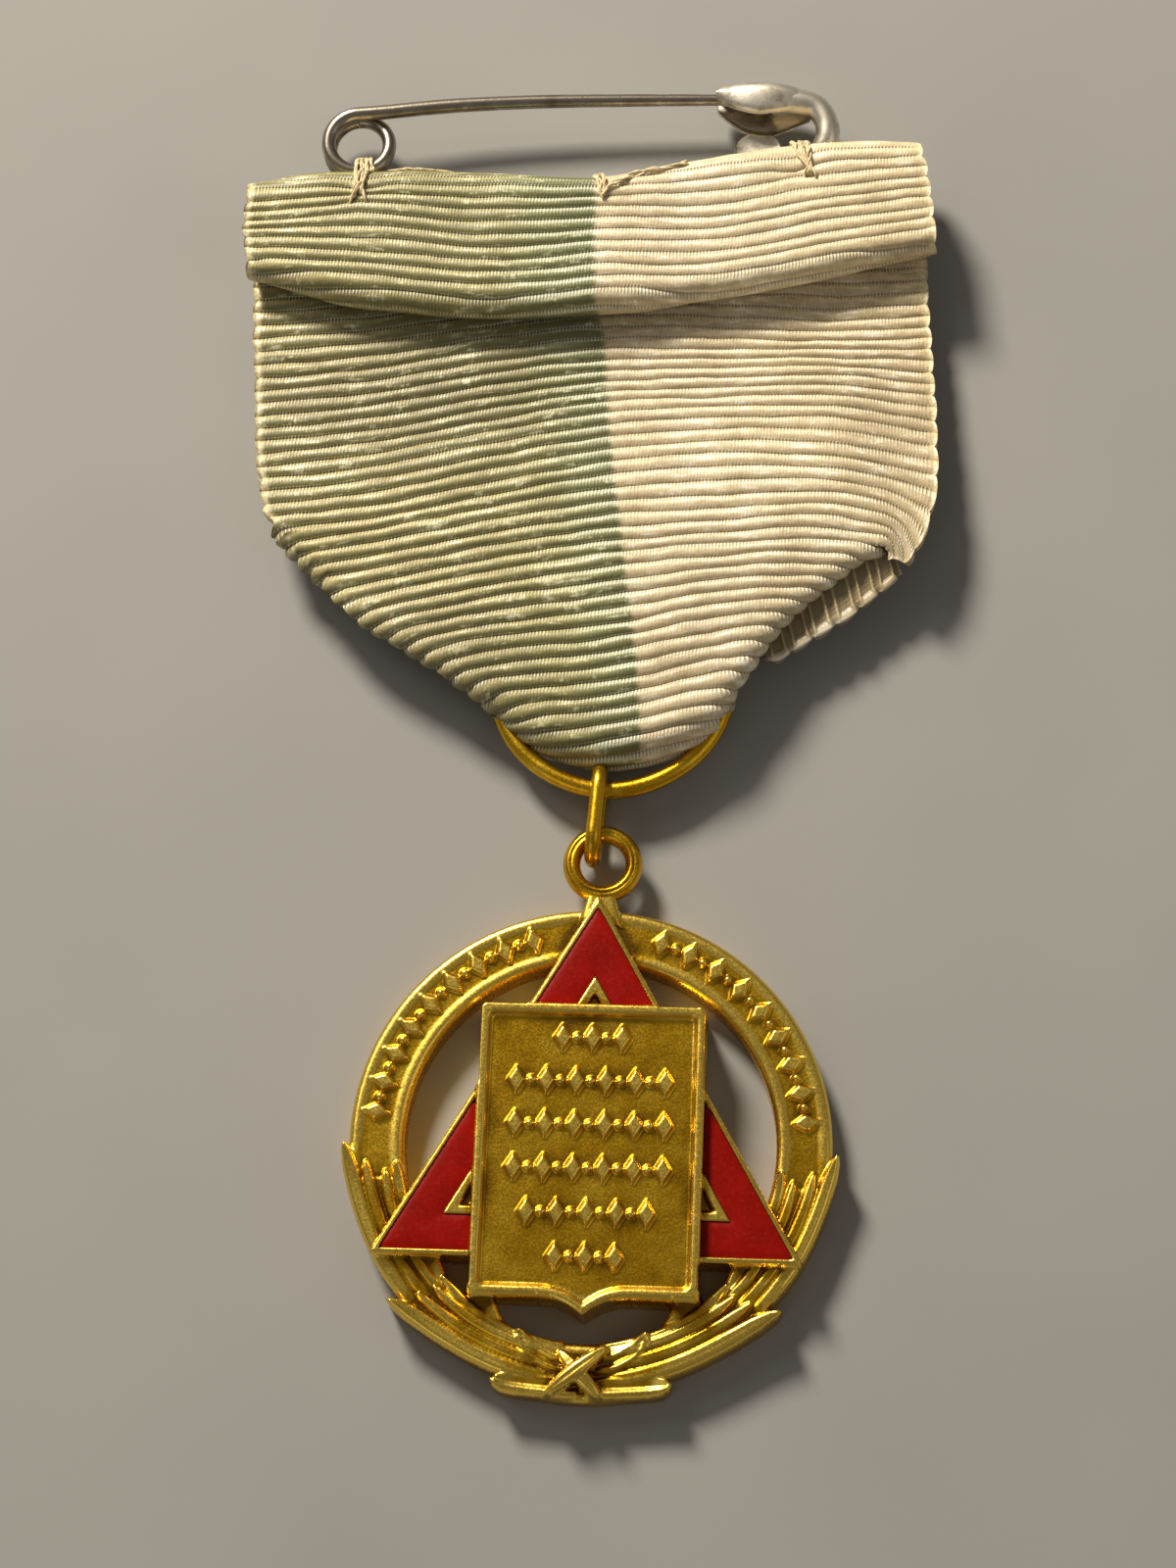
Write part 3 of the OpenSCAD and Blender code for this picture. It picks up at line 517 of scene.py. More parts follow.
def smooth_curve(x, keys, values):
    """Smooth value at x from the values at keys: one row of them, or a row for each x."""
    keys, values = np.asarray(keys, float), np.asarray(values, float)
    slope = np.diff(values, axis=-1) / np.diff(keys)
    tangent = np.concatenate([slope[..., :1], 0.5 * (slope[..., 1:] + slope[..., :-1]), slope[..., -1:]], -1)
    k = np.clip(np.searchsorted(keys, x) - 1, 0, len(keys) - 2)
    step = keys[k + 1] - keys[k]
    t = (x - keys[k]) / step

    def at(rows, index):
        return rows[index] if rows.ndim == 1 else np.take_along_axis(rows, index[..., None], -1)[..., 0]

    return (at(values, k) * (1 + 2 * t) * (1 - t)**2 + at(values, k + 1) * t * t * (3 - 2 * t)
            + at(tangent, k) * step * t * (1 - t)**2 + at(tangent, k + 1) * step * t * t * (t - 1))


def rib_y(table, rib, x):
    """y of the rib line number rib at x; rib and x are arrays of the same shape."""
    at_x = np.stack([smooth_curve(x, STATIONS, row[1:]) for row in table], -1)
    return smooth_curve(rib, table[:, 0], at_x)


def panel_y(ribs, x):
    return rib_y(PANEL_RIBS, ribs, np.full(len(ribs), x))


def smooth01(t):
    t = np.clip(t, 0, 1)
    return t * t * (3 - 2 * t)


def lump(x, y, middle_x, middle_y, half_x, half_y, turn=0.0):
    """Soft bump of height 1, its x axis turned by turn degrees."""
    c, s = math.cos(math.radians(turn)), math.sin(math.radians(turn))
    u = ((x - middle_x) * c + (y - middle_y) * s) / half_x
    v = (-(x - middle_x) * s + (y - middle_y) * c) / half_y
    return np.exp(-(u * u + v * v))


def lumps(x, y, table):
    return sum(row[0] * lump(x, y, *row[1:]) for row in table)


def ripple(x, y, seed, size):
    """Smooth uneven surface from -1 to 1 with waves about size mm long."""
    rand = np.random.default_rng(seed)
    total = np.zeros(np.broadcast(x, y).shape)
    for _ in range(9):
        turn, shift = rand.uniform(0, math.pi), rand.uniform(0, 6.28)
        k = FULL_TURN / (size * rand.uniform(0.7, 1.6))
        total += np.sin(k * (x * math.cos(turn) + y * math.sin(turn)) + shift)
    return total / 4.5


def waves(x, y, table):
    return sum(height * ripple(x, y, seed, size) for height, seed, size in table)


def stray(x, y, seed):
    """y of ribs that stray a little from their lines."""
    return y + 0.045 * ripple(x, y * 2.2, seed, 3.8) + 0.018 * ripple(x, y * 1.5, seed + 1, 1.5)


def rib_profile(phase):
    """Round cord with a sharp groove at each whole number, from -1 to 1."""
    t = np.abs(2 * (phase - np.floor(phase)) - 1)
    return 2 * np.sqrt(np.maximum(1 - 0.97 * t**2.2, 0)) - 1


def pair_phase(phase):
    """Distance from the middle of a pair of cords, 1 at its ends."""
    return np.abs(phase - 2 * np.floor(phase / 2) - 1)


def pair_profile(phase):
    """1 in the middle of each pair of cords, 0 between the pairs."""
    return np.sqrt(np.maximum(1 - pair_phase(phase)**2, 0))


def cord_rows(first, last):
    """Rib numbers from first to last, closer together at the grooves."""
    whole = np.arange(math.floor(first), math.ceil(last))
    rows = (whole[:, None] + CORD_SAMPLES[None, :]).ravel()
    return rows[(rows >= first) & (rows <= last)]


def columns(left, right, count=50, edge=6, edge_share=0.035):
    """x of each column, closer together near both woven edges."""
    low = edge_share * np.linspace(0, 1, edge, endpoint=False)
    t = np.concatenate([low, np.linspace(edge_share, 1 - edge_share, count), 1 - low[::-1]])
    return left[:, None] + (right - left)[:, None] * t[None, :]


def polyline_x(y, outline):
    pts = np.asarray(outline, float)
    order = np.argsort(pts[:, 1])
    return np.interp(y, pts[order, 1], pts[order, 0])


def meet(ribs, x, outline):
    """x at which each rib line meets the outline, found from a first x."""
    x = np.full(len(ribs), x)
    for _ in range(30):
        x = 0.5 * x + 0.5 * polyline_x(rib_y(PANEL_RIBS, ribs, x), outline)
    return x


def woven_edges(mid, rib, left_e, right_e):
    """Each weft cord turns back at the woven edge, so the cords end in pairs there.
    Moves the edge points out and returns how strong the ribs are."""
    left_way = mid[:, 0, :2] - mid[:, 4, :2]
    right_way = mid[:, -1, :2] - mid[:, -5, :2]
    for dist, way, shift in ((left_e, left_way, 1), (right_e, right_way, 0)):
        move = smooth01(1 - dist / 0.55) * (0.20 * pair_profile(rib + shift) - 0.07)
        mid[:, :, :2] += move[:, :, None] * unit_rows(way)[:, None, :]
    return 0.35 + 0.65 * smooth01(np.minimum(left_e, right_e) / 0.4)


def closed_wall(mid, above, below):
    """Closed wall round a grid of middle points, as far above and below them as given."""
    n, m = mid.shape[:2]
    normal = unit_rows(np.cross(np.gradient(mid, axis=1), np.gradient(mid, axis=0)))
    above, below = (np.broadcast_to(value, (n, m))[:, :, None] for value in (above, below))
    points = np.vstack([(mid + normal * above).reshape(-1, 3), (mid - normal * below).reshape(-1, 3)])
    size = n * m
    quads = [grid_quads(n, m), grid_quads(n, m, size, flip=True)]
    ids = np.arange(size).reshape(n, m)
    for line, flip in ((ids[:, 0], True), (ids[:, -1], False), (ids[0, :], False), (ids[-1, :], True)):
        a, b = line[:-1], line[1:]
        rim = np.stack([a, b, b + size, a + size], -1)
        quads.append(rim[:, ::-1] if flip else rim)
    return points, np.vstack(quads), NO_TRIANGLES, {}


def woven_wall(mid, rib, across, fade, tone, rib_h=RIB_H, wall=WALL, painted_shade=0.0, drawn=None):
    """Closed wall of ribbed cloth with the values that its material reads.
    fade is how strong the ribs are, tone mm from the woven edge, drawn the rib number for the material, and
    dirt the painted shade added to the lumps' soil and shade."""
    relief = rib_h * rib_profile(rib) * fade
    points, quads, tris, _ = closed_wall(mid, wall / 2 + relief, wall / 2 + 0.6 * relief)
    weave = np.stack([across, rib if drawn is None else drawn, tone], -1).reshape(-1, 3)
    x, y = mid[:, :, 0], mid[:, :, 1]
    dye = across - np.interp(y, *COLOUR_EDGE)
    dye = np.where(dye < 0, dye * np.interp(y, *GREEN_SQUEEZE), dye).ravel()
    # soil and painted shade from the lumps, plus the painted shade passed in
    soil_and_shade = (lumps(x, y, SOIL_AND_SHADE) + painted_shade).ravel()
    values = {"weave": weave, "dye": dye, "soil_and_shade": soil_and_shade}
    return points, quads, tris, {key: np.concatenate([value, value]) for key, value in values.items()}


def bend(flat_y, start_y, radius, z0, sign):
    """Cloth past start_y turns round an axis along X: returns y, z and how far it has turned.
    With sign -1 it turns at low y and with 1 at high y, always down."""
    over = np.maximum(sign * (flat_y - start_y), 0)
    turned = np.minimum(over / radius, math.pi)
    rest = np.maximum(over - math.pi * radius, 0)
    y = np.where(over > 0, start_y + sign * (radius * np.sin(turned) - rest), flat_y)
    return y, z0 - radius * (1 - np.cos(turned)), turned


class Fold:
    """A fold line in plan: cloth past it rolls round it and goes back underneath."""

    def __init__(self, outline, outward, radius):
        path = spline(outline, 10)
        at = cumulative(path)
        even = np.linspace(0, at[-1], 90)
        line = np.stack([np.interp(even, at, path[:, k]) for k in (0, 1)], -1)
        head = unit_rows(np.gradient(line, axis=0))
        self.normal = outward * np.stack([head[:, 1], -head[:, 0]], -1)
        self.radius = radius
        self.line = line - self.normal * (radius + SKIN)

    def apply(self, mid, share):
        """mid holds flat points; share says how much each is rolled."""
        flat = mid.reshape(-1, 3)
        gap = flat[:, None, :2] - self.line[None, :, :]
        near = np.argmin(np.sum(gap * gap, -1), 1)
        foot, normal = self.line[near], self.normal[near]
        signed = np.sum((flat[:, :2] - foot) * normal, 1)
        past = np.maximum(signed, 0)
        turn = np.minimum(past / self.radius, math.pi)
        out = self.radius * np.sin(turn) - np.maximum(past - math.pi * self.radius, 0)
        rolled = flat[:, :2] + (out - signed)[:, None] * normal
        use = (signed > 0) * share.ravel()
        flat[:, :2] += use[:, None] * (rolled - flat[:, :2])
        flat[:, 2] -= use * self.radius * (1 - np.cos(turn))
        return flat.reshape(mid.shape)


LEFT_FOLD = Fold(LEFT_OUTLINE, 1, 0.30)
CREASE = Fold(CREASE_OUTLINE, -1, 0.40)


def panel_left(ribs):
    """Left end of each rib line, past the left fold where there is one, and the fold's share."""
    at_fold = meet(ribs, -12.0, LEFT_FOLD.line)
    y = rib_y(PANEL_RIBS, ribs, at_fold)
    share = smooth01(13.4 - y) * smooth01((y - 2.3) / 1.2)
    back = np.interp(y, [2.5, 4.5, 7.0, 10.0, 12.3], [0.0, 0.05, 1.0, 1.6, 0.4])
    wrapped = np.maximum(at_fold - (math.pi * LEFT_FOLD.radius + back) / 0.66, -17.4)
    low = np.maximum(polyline_x(y, [(-4.55, 2.5), (-8.3, 5.6)]), -17)
    plain = np.where(y < 6, low, meet(ribs, -16.0, LEFT_EDGE))
    return plain + (wrapped - plain) * share, share


def fan_reach(ribs):
    """How far each rib line passes from the point that the ribs turn about."""
    return np.maximum(panel_y(ribs, FAN_X) - FAN_Y, 0.3)


def fan(ribs, x, flat_y, reach):
    """Plan of the rib lines as they turn down at the right corner, and how far each has turned."""
    step = 0.2
    start_y = panel_y(ribs, FAN_X)[:, None]
    first = np.arctan((start_y - panel_y(ribs, FAN_X - step)[:, None]) / step)
    far = np.maximum(x - FAN_X, 0)
    radius = (reach + 0.04 * reach**3)[:, None]
    turned = np.minimum(far / radius, FAN_TURN)
    rest = np.maximum(far - radius * FAN_TURN, 0)
    head = first - turned
    fan_x = FAN_X + radius * (np.sin(first) - np.sin(head)) + rest * np.cos(head)
    fan_y = start_y + radius * (np.cos(head) - np.cos(first)) + rest * np.sin(head)
    plain = smooth01((reach - 2.6) / 3.0)[:, None]
    plan = np.where(far > 0, fan_x + plain * (x - fan_x), x)
    return plan, np.where(far > 0, fan_y + plain * (flat_y - fan_y), flat_y), turned


def panel_middle(ribs, x, plan, flat_y, share_l, drop):
    """Middle points of the front panel, turned up inside the ring and rolled round the left fold."""
    # ribs droop a little as they come to the left fold
    left_flat = x - meet(ribs, -12.0, LEFT_OUTLINE)[:, None]
    flat_y = stray(plan, flat_y - 0.50 * np.exp(-np.maximum(left_flat, 0) / 0.8) * share_l[:, None], 5)
    radius = (RING_TURN_Z + LIFT - BACK_Z) / 2
    lowest = smooth_curve(np.clip(plan, -4.4, 7.3), *LOWEST_Y)
    z0 = np.interp(flat_y, *PANEL_Z) + lumps(plan, flat_y, PANEL_LUMPS) + waves(plan, flat_y, PANEL_WAVES)
    y, z, turned = bend(flat_y, lowest + radius + WALL / 2 + 0.7 * RIB_H, radius, z0 + LIFT - drop, -1)
    flat_share = smooth01((2.2 - turned) / 0.8)
    mid = LEFT_FOLD.apply(np.stack([plan, y, z], -1), share_l[:, None] * flat_share * (x < 0))
    return mid, flat_share


def upper_panel():
    """Front panel down to the seam, fanned round the right corner."""
    ribs = np.concatenate([[SEAM_RIB], cord_rows(TOP_RIB, SEAM_RIB)[::-1]])
    left, share_l = panel_left(ribs)
    reach = fan_reach(ribs)
    long_end = FAN_X + 0.2 + reach * np.interp(reach, [0.3, 0.8, 1.6], [0.7, 1.15, 1.42])
    right = np.minimum(np.interp(reach, *RIGHT_X), long_end)
    x = columns(left, right)
    rib = np.broadcast_to(ribs[:, None], x.shape)
    plan, flat_y, turned = fan(ribs, x, rib_y(PANEL_RIBS, rib, x), reach)
    drop = np.interp(reach, [0, 0.6, 1.4, 3.5], [0.6, 0.8, 0.6, 0.0])[:, None]
    mid, _ = panel_middle(ribs, x, plan, flat_y, share_l, FAN_DROP * (turned / FAN_TURN)**1.5 * drop)
    mid[:, :, 2] = np.maximum(mid[:, :, 2], FOLD_Z)
    left_e, right_e = x - left[:, None] + 2 * share_l[:, None], right[:, None] - x
    corner = (0.55 * smooth01((5.0 - reach) / 2.5))[:, None]
    fade = np.minimum(woven_edges(mid, rib, left_e, right_e) + corner, 1)
    # painted shade on the ends of the fanned ribs by the crease
    painted_shade = 0.45 * smooth01((3.4 - reach) / 2.6)[:, None] * smooth01((x - FAN_X + 0.4) / 1.2)
    return woven_wall(mid, rib, x, fade, np.minimum(left_e, right_e + corner), painted_shade=painted_shade)


def lower_panel():
    """Front panel from the seam round the ring, rolled round the crease on its right."""
    ribs = np.concatenate([[LAST_RIB], cord_rows(SEAM_RIB - TUCK, LAST_RIB)[::-1]])
    left, share_l = panel_left(ribs)
    right = meet(ribs, 12.0, CREASE.line)
    share_r = smooth01(rib_y(PANEL_RIBS, ribs, right) - 2.2)
    x = columns(left, right + share_r * (math.pi * CREASE.radius * 0.9) / 0.7)
    rib = np.broadcast_to(ribs[:, None], x.shape)
    drop = TUCK_DEPTH * smooth01((SEAM_RIB + 0.1 - rib) / 0.3)
    mid, flat_share = panel_middle(ribs, x, x, rib_y(PANEL_RIBS, rib, x), share_l, drop)
    mid = CREASE.apply(mid, share_r[:, None] * flat_share * (x > 0))
    mid[:, :, 2] = np.maximum(mid[:, :, 2], FOLD_Z)
    return woven_wall(mid, rib, x, 1.0, np.full_like(x, 2.0))


def band_strip():
    """Band across the top: it turns under at the hem and goes back over the top edge."""
    ribs = cord_rows(-3.4, 14.6)
    left, right = np.interp(ribs, *BAND_LEFT), np.interp(ribs, *BAND_RIGHT)
    x = columns(left, right)
    rib = np.broadcast_to(ribs[:, None], x.shape)
    flat_y = stray(x, rib_y(BAND_RIBS, rib, x), 7)
    r_top = (BAND_Z + LIFT - PANEL_TOP_Z) / 2
    r_hem = (BAND_Z + LIFT - HEM_Z) / 2
    z0 = BAND_Z + LIFT + lumps(x, flat_y, BAND_LUMPS) + waves(x, flat_y, BAND_WAVES)
    y, z, _ = bend(flat_y, smooth_curve(x, *HEM_Y) + r_hem + SKIN, r_hem, z0, -1)
    top_y, top_z, turned = bend(flat_y, smooth_curve(x, *BAND_TOP_Y) - r_top - SKIN, r_top, z0, 1)
    y, z = np.where(turned > 0, top_y, y), np.where(turned > 0, top_z, z)
    for middle_x, middle_y, pull, half_x, half_y in PINCHES:
        near = pull * lump(x, y, middle_x, middle_y, half_x, half_y)
        y = y - near * (y - middle_y)
        z = z - 0.45 * near * (y < 33.2)
    mid = np.stack([x, y, z], -1)
    left_e, right_e = x - left[:, None], right[:, None] - x
    fade = woven_edges(mid, rib, left_e, right_e)
    # the ribs are wide on the hem's roll: keep the yarn marks in their grooves
    drawn = np.floor(rib) + (rib - np.floor(rib))**np.interp(rib, [11.3, 12.6], [1.0, 0.5])
    tone = np.minimum(left_e, right_e)
    mid, rib, x, fade, tone, drawn = (a[::-1] for a in (mid, rib, x, fade, tone, drawn))
    return woven_wall(mid, rib, x, fade, tone, BAND_RIB_H, drawn=drawn)


def back_strip():
    """Back panel, flat on the surface."""
    ys = np.linspace(*BACK_ENDS, 60)
    x = columns(polyline_x(ys, BACK_LEFT), polyline_x(ys, BACK_RIGHT), 30, 4)
    y = np.broadcast_to(ys[:, None], x.shape)
    rib_pitch = 0.71
    mid = np.stack([x, y, np.full_like(x, BACK_Z)], -1)
    return woven_wall(mid, y / rib_pitch, x, 1.0, np.zeros_like(x), rib_h=0.0)


def flap_strip():
    """The weft cords turn back at the woven edge: a pale loop round each pair, with painted shade inside the
    loops and over the flap, which lies in the crease's shade.
    """
    a = np.linspace(-0.4, 12.25, 200)
    edge_x, edge_y, root_x, root_y = (smooth_curve(a, FLAP[:, 0], FLAP[:, k])[:, None] for k in range(1, 5))
    v = np.concatenate([np.linspace(0, 0.7, 10), np.linspace(0.73, 1.0, 22)])[None, :]
    length = np.hypot(edge_x - root_x, edge_y - root_y)
    out = v * (1 + 0.36 * (pair_profile(a)[:, None] - 0.75) / length * v**8)
    rise = np.interp(a, [1.0, 3.0, 12], [0.35, 0.12, 0.0])[:, None] * smooth01((0.92 - v) / 0.6)
    z = FLAP_Z + 0.10 * np.interp(a, [-0.5, 3], [1, 0])[:, None] + rise - 0.14 * smooth01((v - 0.88) / 0.12)
    mid = np.stack([root_x + (edge_x - root_x) * out, root_y + (edge_y - root_y) * out, z], -1)[::-1]
    to_end = (1 - v) * length
    inner = np.minimum(pair_phase(a), 1)[:, None]
    legs = np.exp(-((inner - 0.62) / 0.15)**2) * smooth01(to_end / 0.15)
    turn = np.exp(-((to_end - 0.20) / 0.15)**2) * smooth01((0.75 - inner) / 0.15)
    loop = np.maximum(legs, turn)[::-1]
    crest = np.full_like(loop, 0.5)
    across = np.broadcast_to(15.6 + 2.2 * v, loop.shape)
    # painted shade over the flap, deeper between the pale loops
    return woven_wall(mid, crest, across, 0.17 * (loop - 0.45), crest + 2.0, rib_h=1.0, wall=FLAP_WALL,
                      painted_shade=0.60 * (1 - loop) + 0.38)


ribbon = join_parts([upper_panel(), lower_panel(), band_strip(), back_strip(), flap_strip()])
ribbon_obj = add_piece("ribbon_cloth", ribbon, CLOTH, ("ribbon",))

# Badge
# It is worked out upright, with its ring's middle at 0, then turned and moved to its place.
BADGE_X, BADGE_Y = 0.17, -18.87
BADGE_TURN = math.radians(-2.2)
# Triangle: its middle, the distance from there to its sides, and the widths of its bands
TRIANGLE_Y = 0.2
OUTER_SIDE = 6.005
BORDER, CELL, INNER_BORDER = 0.25, 1.75, 0.4
CELL_OUTER = OUTER_SIDE - BORDER
CELL_INNER = CELL_OUTER - CELL
SUNK_SIDE = CELL_INNER - INNER_BORDER
# Ring: its outer and inner radius. Tablet: half its width, y of its top and of its foot.
RING_OUTER, RING_INNER = 11.78, 9.08
TABLET_HALF, TABLET_HEAD_Y, TABLET_FOOT_Y = 5.55, 6.62, -7.75
# Eye: its middle, its radius to the middle of the wire, and the wire's half sizes
EYE_X, EYE_Y, EYE_Z = 0.1, 14.15, 1.55
EYE_R, EYE_HALF_W, EYE_HALF_H = 1.555, 0.43, 0.6
# Heights of the faces
RING_TOP, NECK_TOP, CELL_FLOOR, SUNK_TOP, PLATE_TOP = 1.8, 2.0, 1.95, 2.3, 2.65
FIELD_TOP, TABLET_TOP = 2.90, 3.3
# Margin past an outline within which heights still count
NEAR = 0.02
# Wreath leaves on each side. Columns: angle of the tip and of the root from the foot,
# radius at the root and at the tip, half width, crest, how late the tip curls, height of the tip
LEAVES = np.array([
    [89, 46, 11.45, 12.05, 0.46, 0.66, 5, 0.40],
    [84, 44, 10.78, 10.95, 0.38, 0.70, 3, 0.05],
    [81, 43, 10.12, 10.05, 0.36, 0.70, 3, 0.05],
    [83, 58, 9.48, 9.42, 0.36, 0.56, 2, 0.35],
    [50.5, 6, 11.50, 12.35, 0.52, 0.66, 5, 0.40],
    [47, 7, 10.80, 11.05, 0.38, 0.74, 4, 0.15],
    [45, 6, 10.22, 10.25, 0.36, 0.74, 3, 0.15],
    [45.5, 5, 9.96, 9.60, 0.34, 0.62, 3, 0.40],
    [20.5, 1, 11.85, 12.35, 0.62, 0.66, 2.5, 0.34],
    [19, 1, 10.85, 9.75, 0.56, 0.84, 2.2, 0.44]])
LEAF_FOOT = 1.42
LEAF_WIDTH = [0, 0.25, 0.7, 0.86, 0.95, 1], [0.8, 1, 1, 0.88, 0.55, 0.08]
# Bands crossed at the wreath's foot. Columns: x and y of both ends, height.
TIES = [(-1.1, -10.15, 0.95, -12.35, 2.42), (-1.66, -12.25, 1.26, -9.95, 2.60)]
# Rows of lozenges on the tablet: y and how many
LOZENGE_ROWS = [(4.95, 3), (2.8, 6), (0.65, 6), (-1.5, 6), (-3.65, 5), (-5.8, 3)]
LOZENGE_PITCH, BEAD_R = 1.45, 0.2
# Two arcs of lozenges on the ring: first angle from the top, step in degrees, radius and how many
ARC_START, ARC_STEP, ARC_R, ARC_COUNT = 17.5, 8.2, 10.55, 9


def triangle_outline(x, y, side):
    """Distance outside a triangle whose sides lie that far from its middle, negative inside."""
    y = y - TRIANGLE_Y
    return np.maximum(-y - side, np.abs(x) * math.cos(math.radians(30)) + y * 0.5 - side)


def tablet_outline(x, y, inset=0.0):
    """Rounded tablet with a small point in the middle of its foot."""
    foot_y = TABLET_FOOT_Y - 0.85 * np.maximum(0, 1 - np.abs(x) / 2.4)**2.4
    side = np.abs(x) - TABLET_HALF + inset
    end = np.maximum(y - TABLET_HEAD_Y + inset, (foot_y + inset - y) * 0.8)
    round_r = 0.3
    corner = np.hypot(np.maximum(side + round_r, 0), np.maximum(end + round_r, 0)) - round_r
    return np.maximum(np.maximum(side, end), corner)


def ring_outline(x, y):
    """Flat ring, narrower inside the wreath and wider at its foot."""
    r = np.hypot(x, y)
    from_foot = np.degrees(np.abs(np.arctan2(x, -y)))
    low, foot = smooth01((52 - from_foot) / 14), smooth01((15 - from_foot) / 4)
    return np.maximum(r - RING_OUTER - 0.75 * foot, RING_INNER + 0.66 * low - r)


def fillet(d, r):
    """Drop of a rounded rim: d is the signed distance, negative inside."""
    t = np.clip(1 + d / r, 0, 1)
    return r * (1 - np.sqrt(np.maximum(1 - t * t, 0)))


def raised(d, width):
    """1 well inside a raised mark, 0 outside, with a cast slope of that width."""
    return smooth01(0.5 - d / width)


def blur(a, k):
    """Box blur by running sums, three passes."""
    size = 2 * k + 1
    for _ in range(3):
        for axis in (0, 1):
            pad = [(0, 0), (0, 0)]
            pad[axis] = (k + 1, k)
            total = np.cumsum(np.pad(a, pad, mode="edge"), axis=axis)
            first = np.arange(a.shape[axis])
            a = (np.take(total, first + size, axis) - np.take(total, first, axis)) / size
    return a


def blend(a, b, k):
    """Union of two outlines with a soft inner corner."""
    h = np.clip(0.5 + 0.5 * (b - a) / k, 0, 1)
    return b + (a - b) * h - k * h * (1 - h)


def wreath(x, y):
    """Outline and height of the leaves."""
    angle = np.degrees(np.arctan2(x, -y))
    r = np.hypot(x, y)
    height = np.zeros_like(x)
    outline = np.full_like(x, 9.0)
    for side in (-1, 1):
        a = angle * side
        for tip_a, root_a, root_r, tip_r, half_w, crest, late, lift in LEAVES:
            t = (a - root_a) / (tip_a - root_a)
            tc = np.clip(t, 0, 1)
            w = half_w * np.interp(tc, *LEAF_WIDTH)
            off = np.abs(r - root_r - (tip_r - root_r) * tc**late)
            along = np.maximum(t - 1, 0) * np.radians(tip_a - root_a) * r
            d = np.where(along > 0, np.hypot(np.maximum(off - w, 0), along), off - w)
            live = (t > 0) & (t < 1.2) & (np.abs(a - tip_a) < 70)
            share = np.clip(off / np.maximum(w, 0.04), 0, 1)
            vein = (0.42 if half_w > 0.54 else 0.10) * np.exp(-(share / 0.4)**2)
            top = np.sqrt(np.maximum(1 - share**2.4, 0)) - vein
            h = LEAF_FOOT + crest * top * np.interp(tc, [0, 0.2, 1], [0.7, 1, 0.9]) + lift * tc**8
            height = np.maximum(height, np.where(live & (d < NEAR), h, 0))
            outline = np.where(live, np.minimum(outline, d), outline)
    return outline, height


def ties(x, y):
    """Outline and height of the two pointed bands."""
    height = np.zeros_like(x)
    outline = np.full_like(x, 9.0)
    for ax, ay, bx, by, high in TIES:
        length = math.hypot(bx - ax, by - ay)
        ux, uy = (bx - ax) / length, (by - ay) / length
        from_x, from_y = x - (ax + bx) / 2, y - (ay + by) / 2
        u, v = from_x * ux + from_y * uy, from_y * ux - from_x * uy
        t = np.clip(np.abs(u) / (length / 2), 0, 1)
        w = 0.36 * np.sqrt(1 - t**2) + 0.05 * (1 - t)
        d = np.maximum(np.abs(v) - w, np.abs(u) - length / 2)
        share = np.clip(np.abs(v) / np.maximum(w, 0.04), 0, 1)
        crown = high + 0.30 * np.sqrt(np.maximum(1 - share**2, 0)) - 0.25 * t**2
        crown -= 0.07 * np.exp(-(v / 0.08)**2)
        height = np.maximum(height, np.where(d < 0, crown, 0))
        outline = np.minimum(outline, d)
    return outline, height


def lozenge(x, y):
    return (np.abs(x) / 0.425 + np.abs(y) / 0.675 - 1) * 0.36


def bead(x, y):
    return np.hypot(x, y) - BEAD_R


def ornament(x, y):
    """Outline of the lozenges and beads on the tablet and on the ring's two arcs."""
    marks = []
    for row_y, count in LOZENGE_ROWS:
        first_x = -(count - 1) / 2 * LOZENGE_PITCH
        marks += [lozenge(x - first_x - i * LOZENGE_PITCH, y - row_y) for i in range(count)]
        marks += [bead(x - first_x - (i + 0.5) * LOZENGE_PITCH, y - row_y) for i in range(count - 1)]
    for side in (-1, 1):
        for half_steps in range(2 * ARC_COUNT - 1):
            a = math.radians(side * (ARC_START + ARC_STEP * half_steps / 2))
            mark = bead if half_steps % 2 else lozenge
            marks.append(mark(x * math.cos(a) + y * math.sin(a), y * math.cos(a) - x * math.sin(a) - ARC_R))
    return np.minimum.reduce(marks)


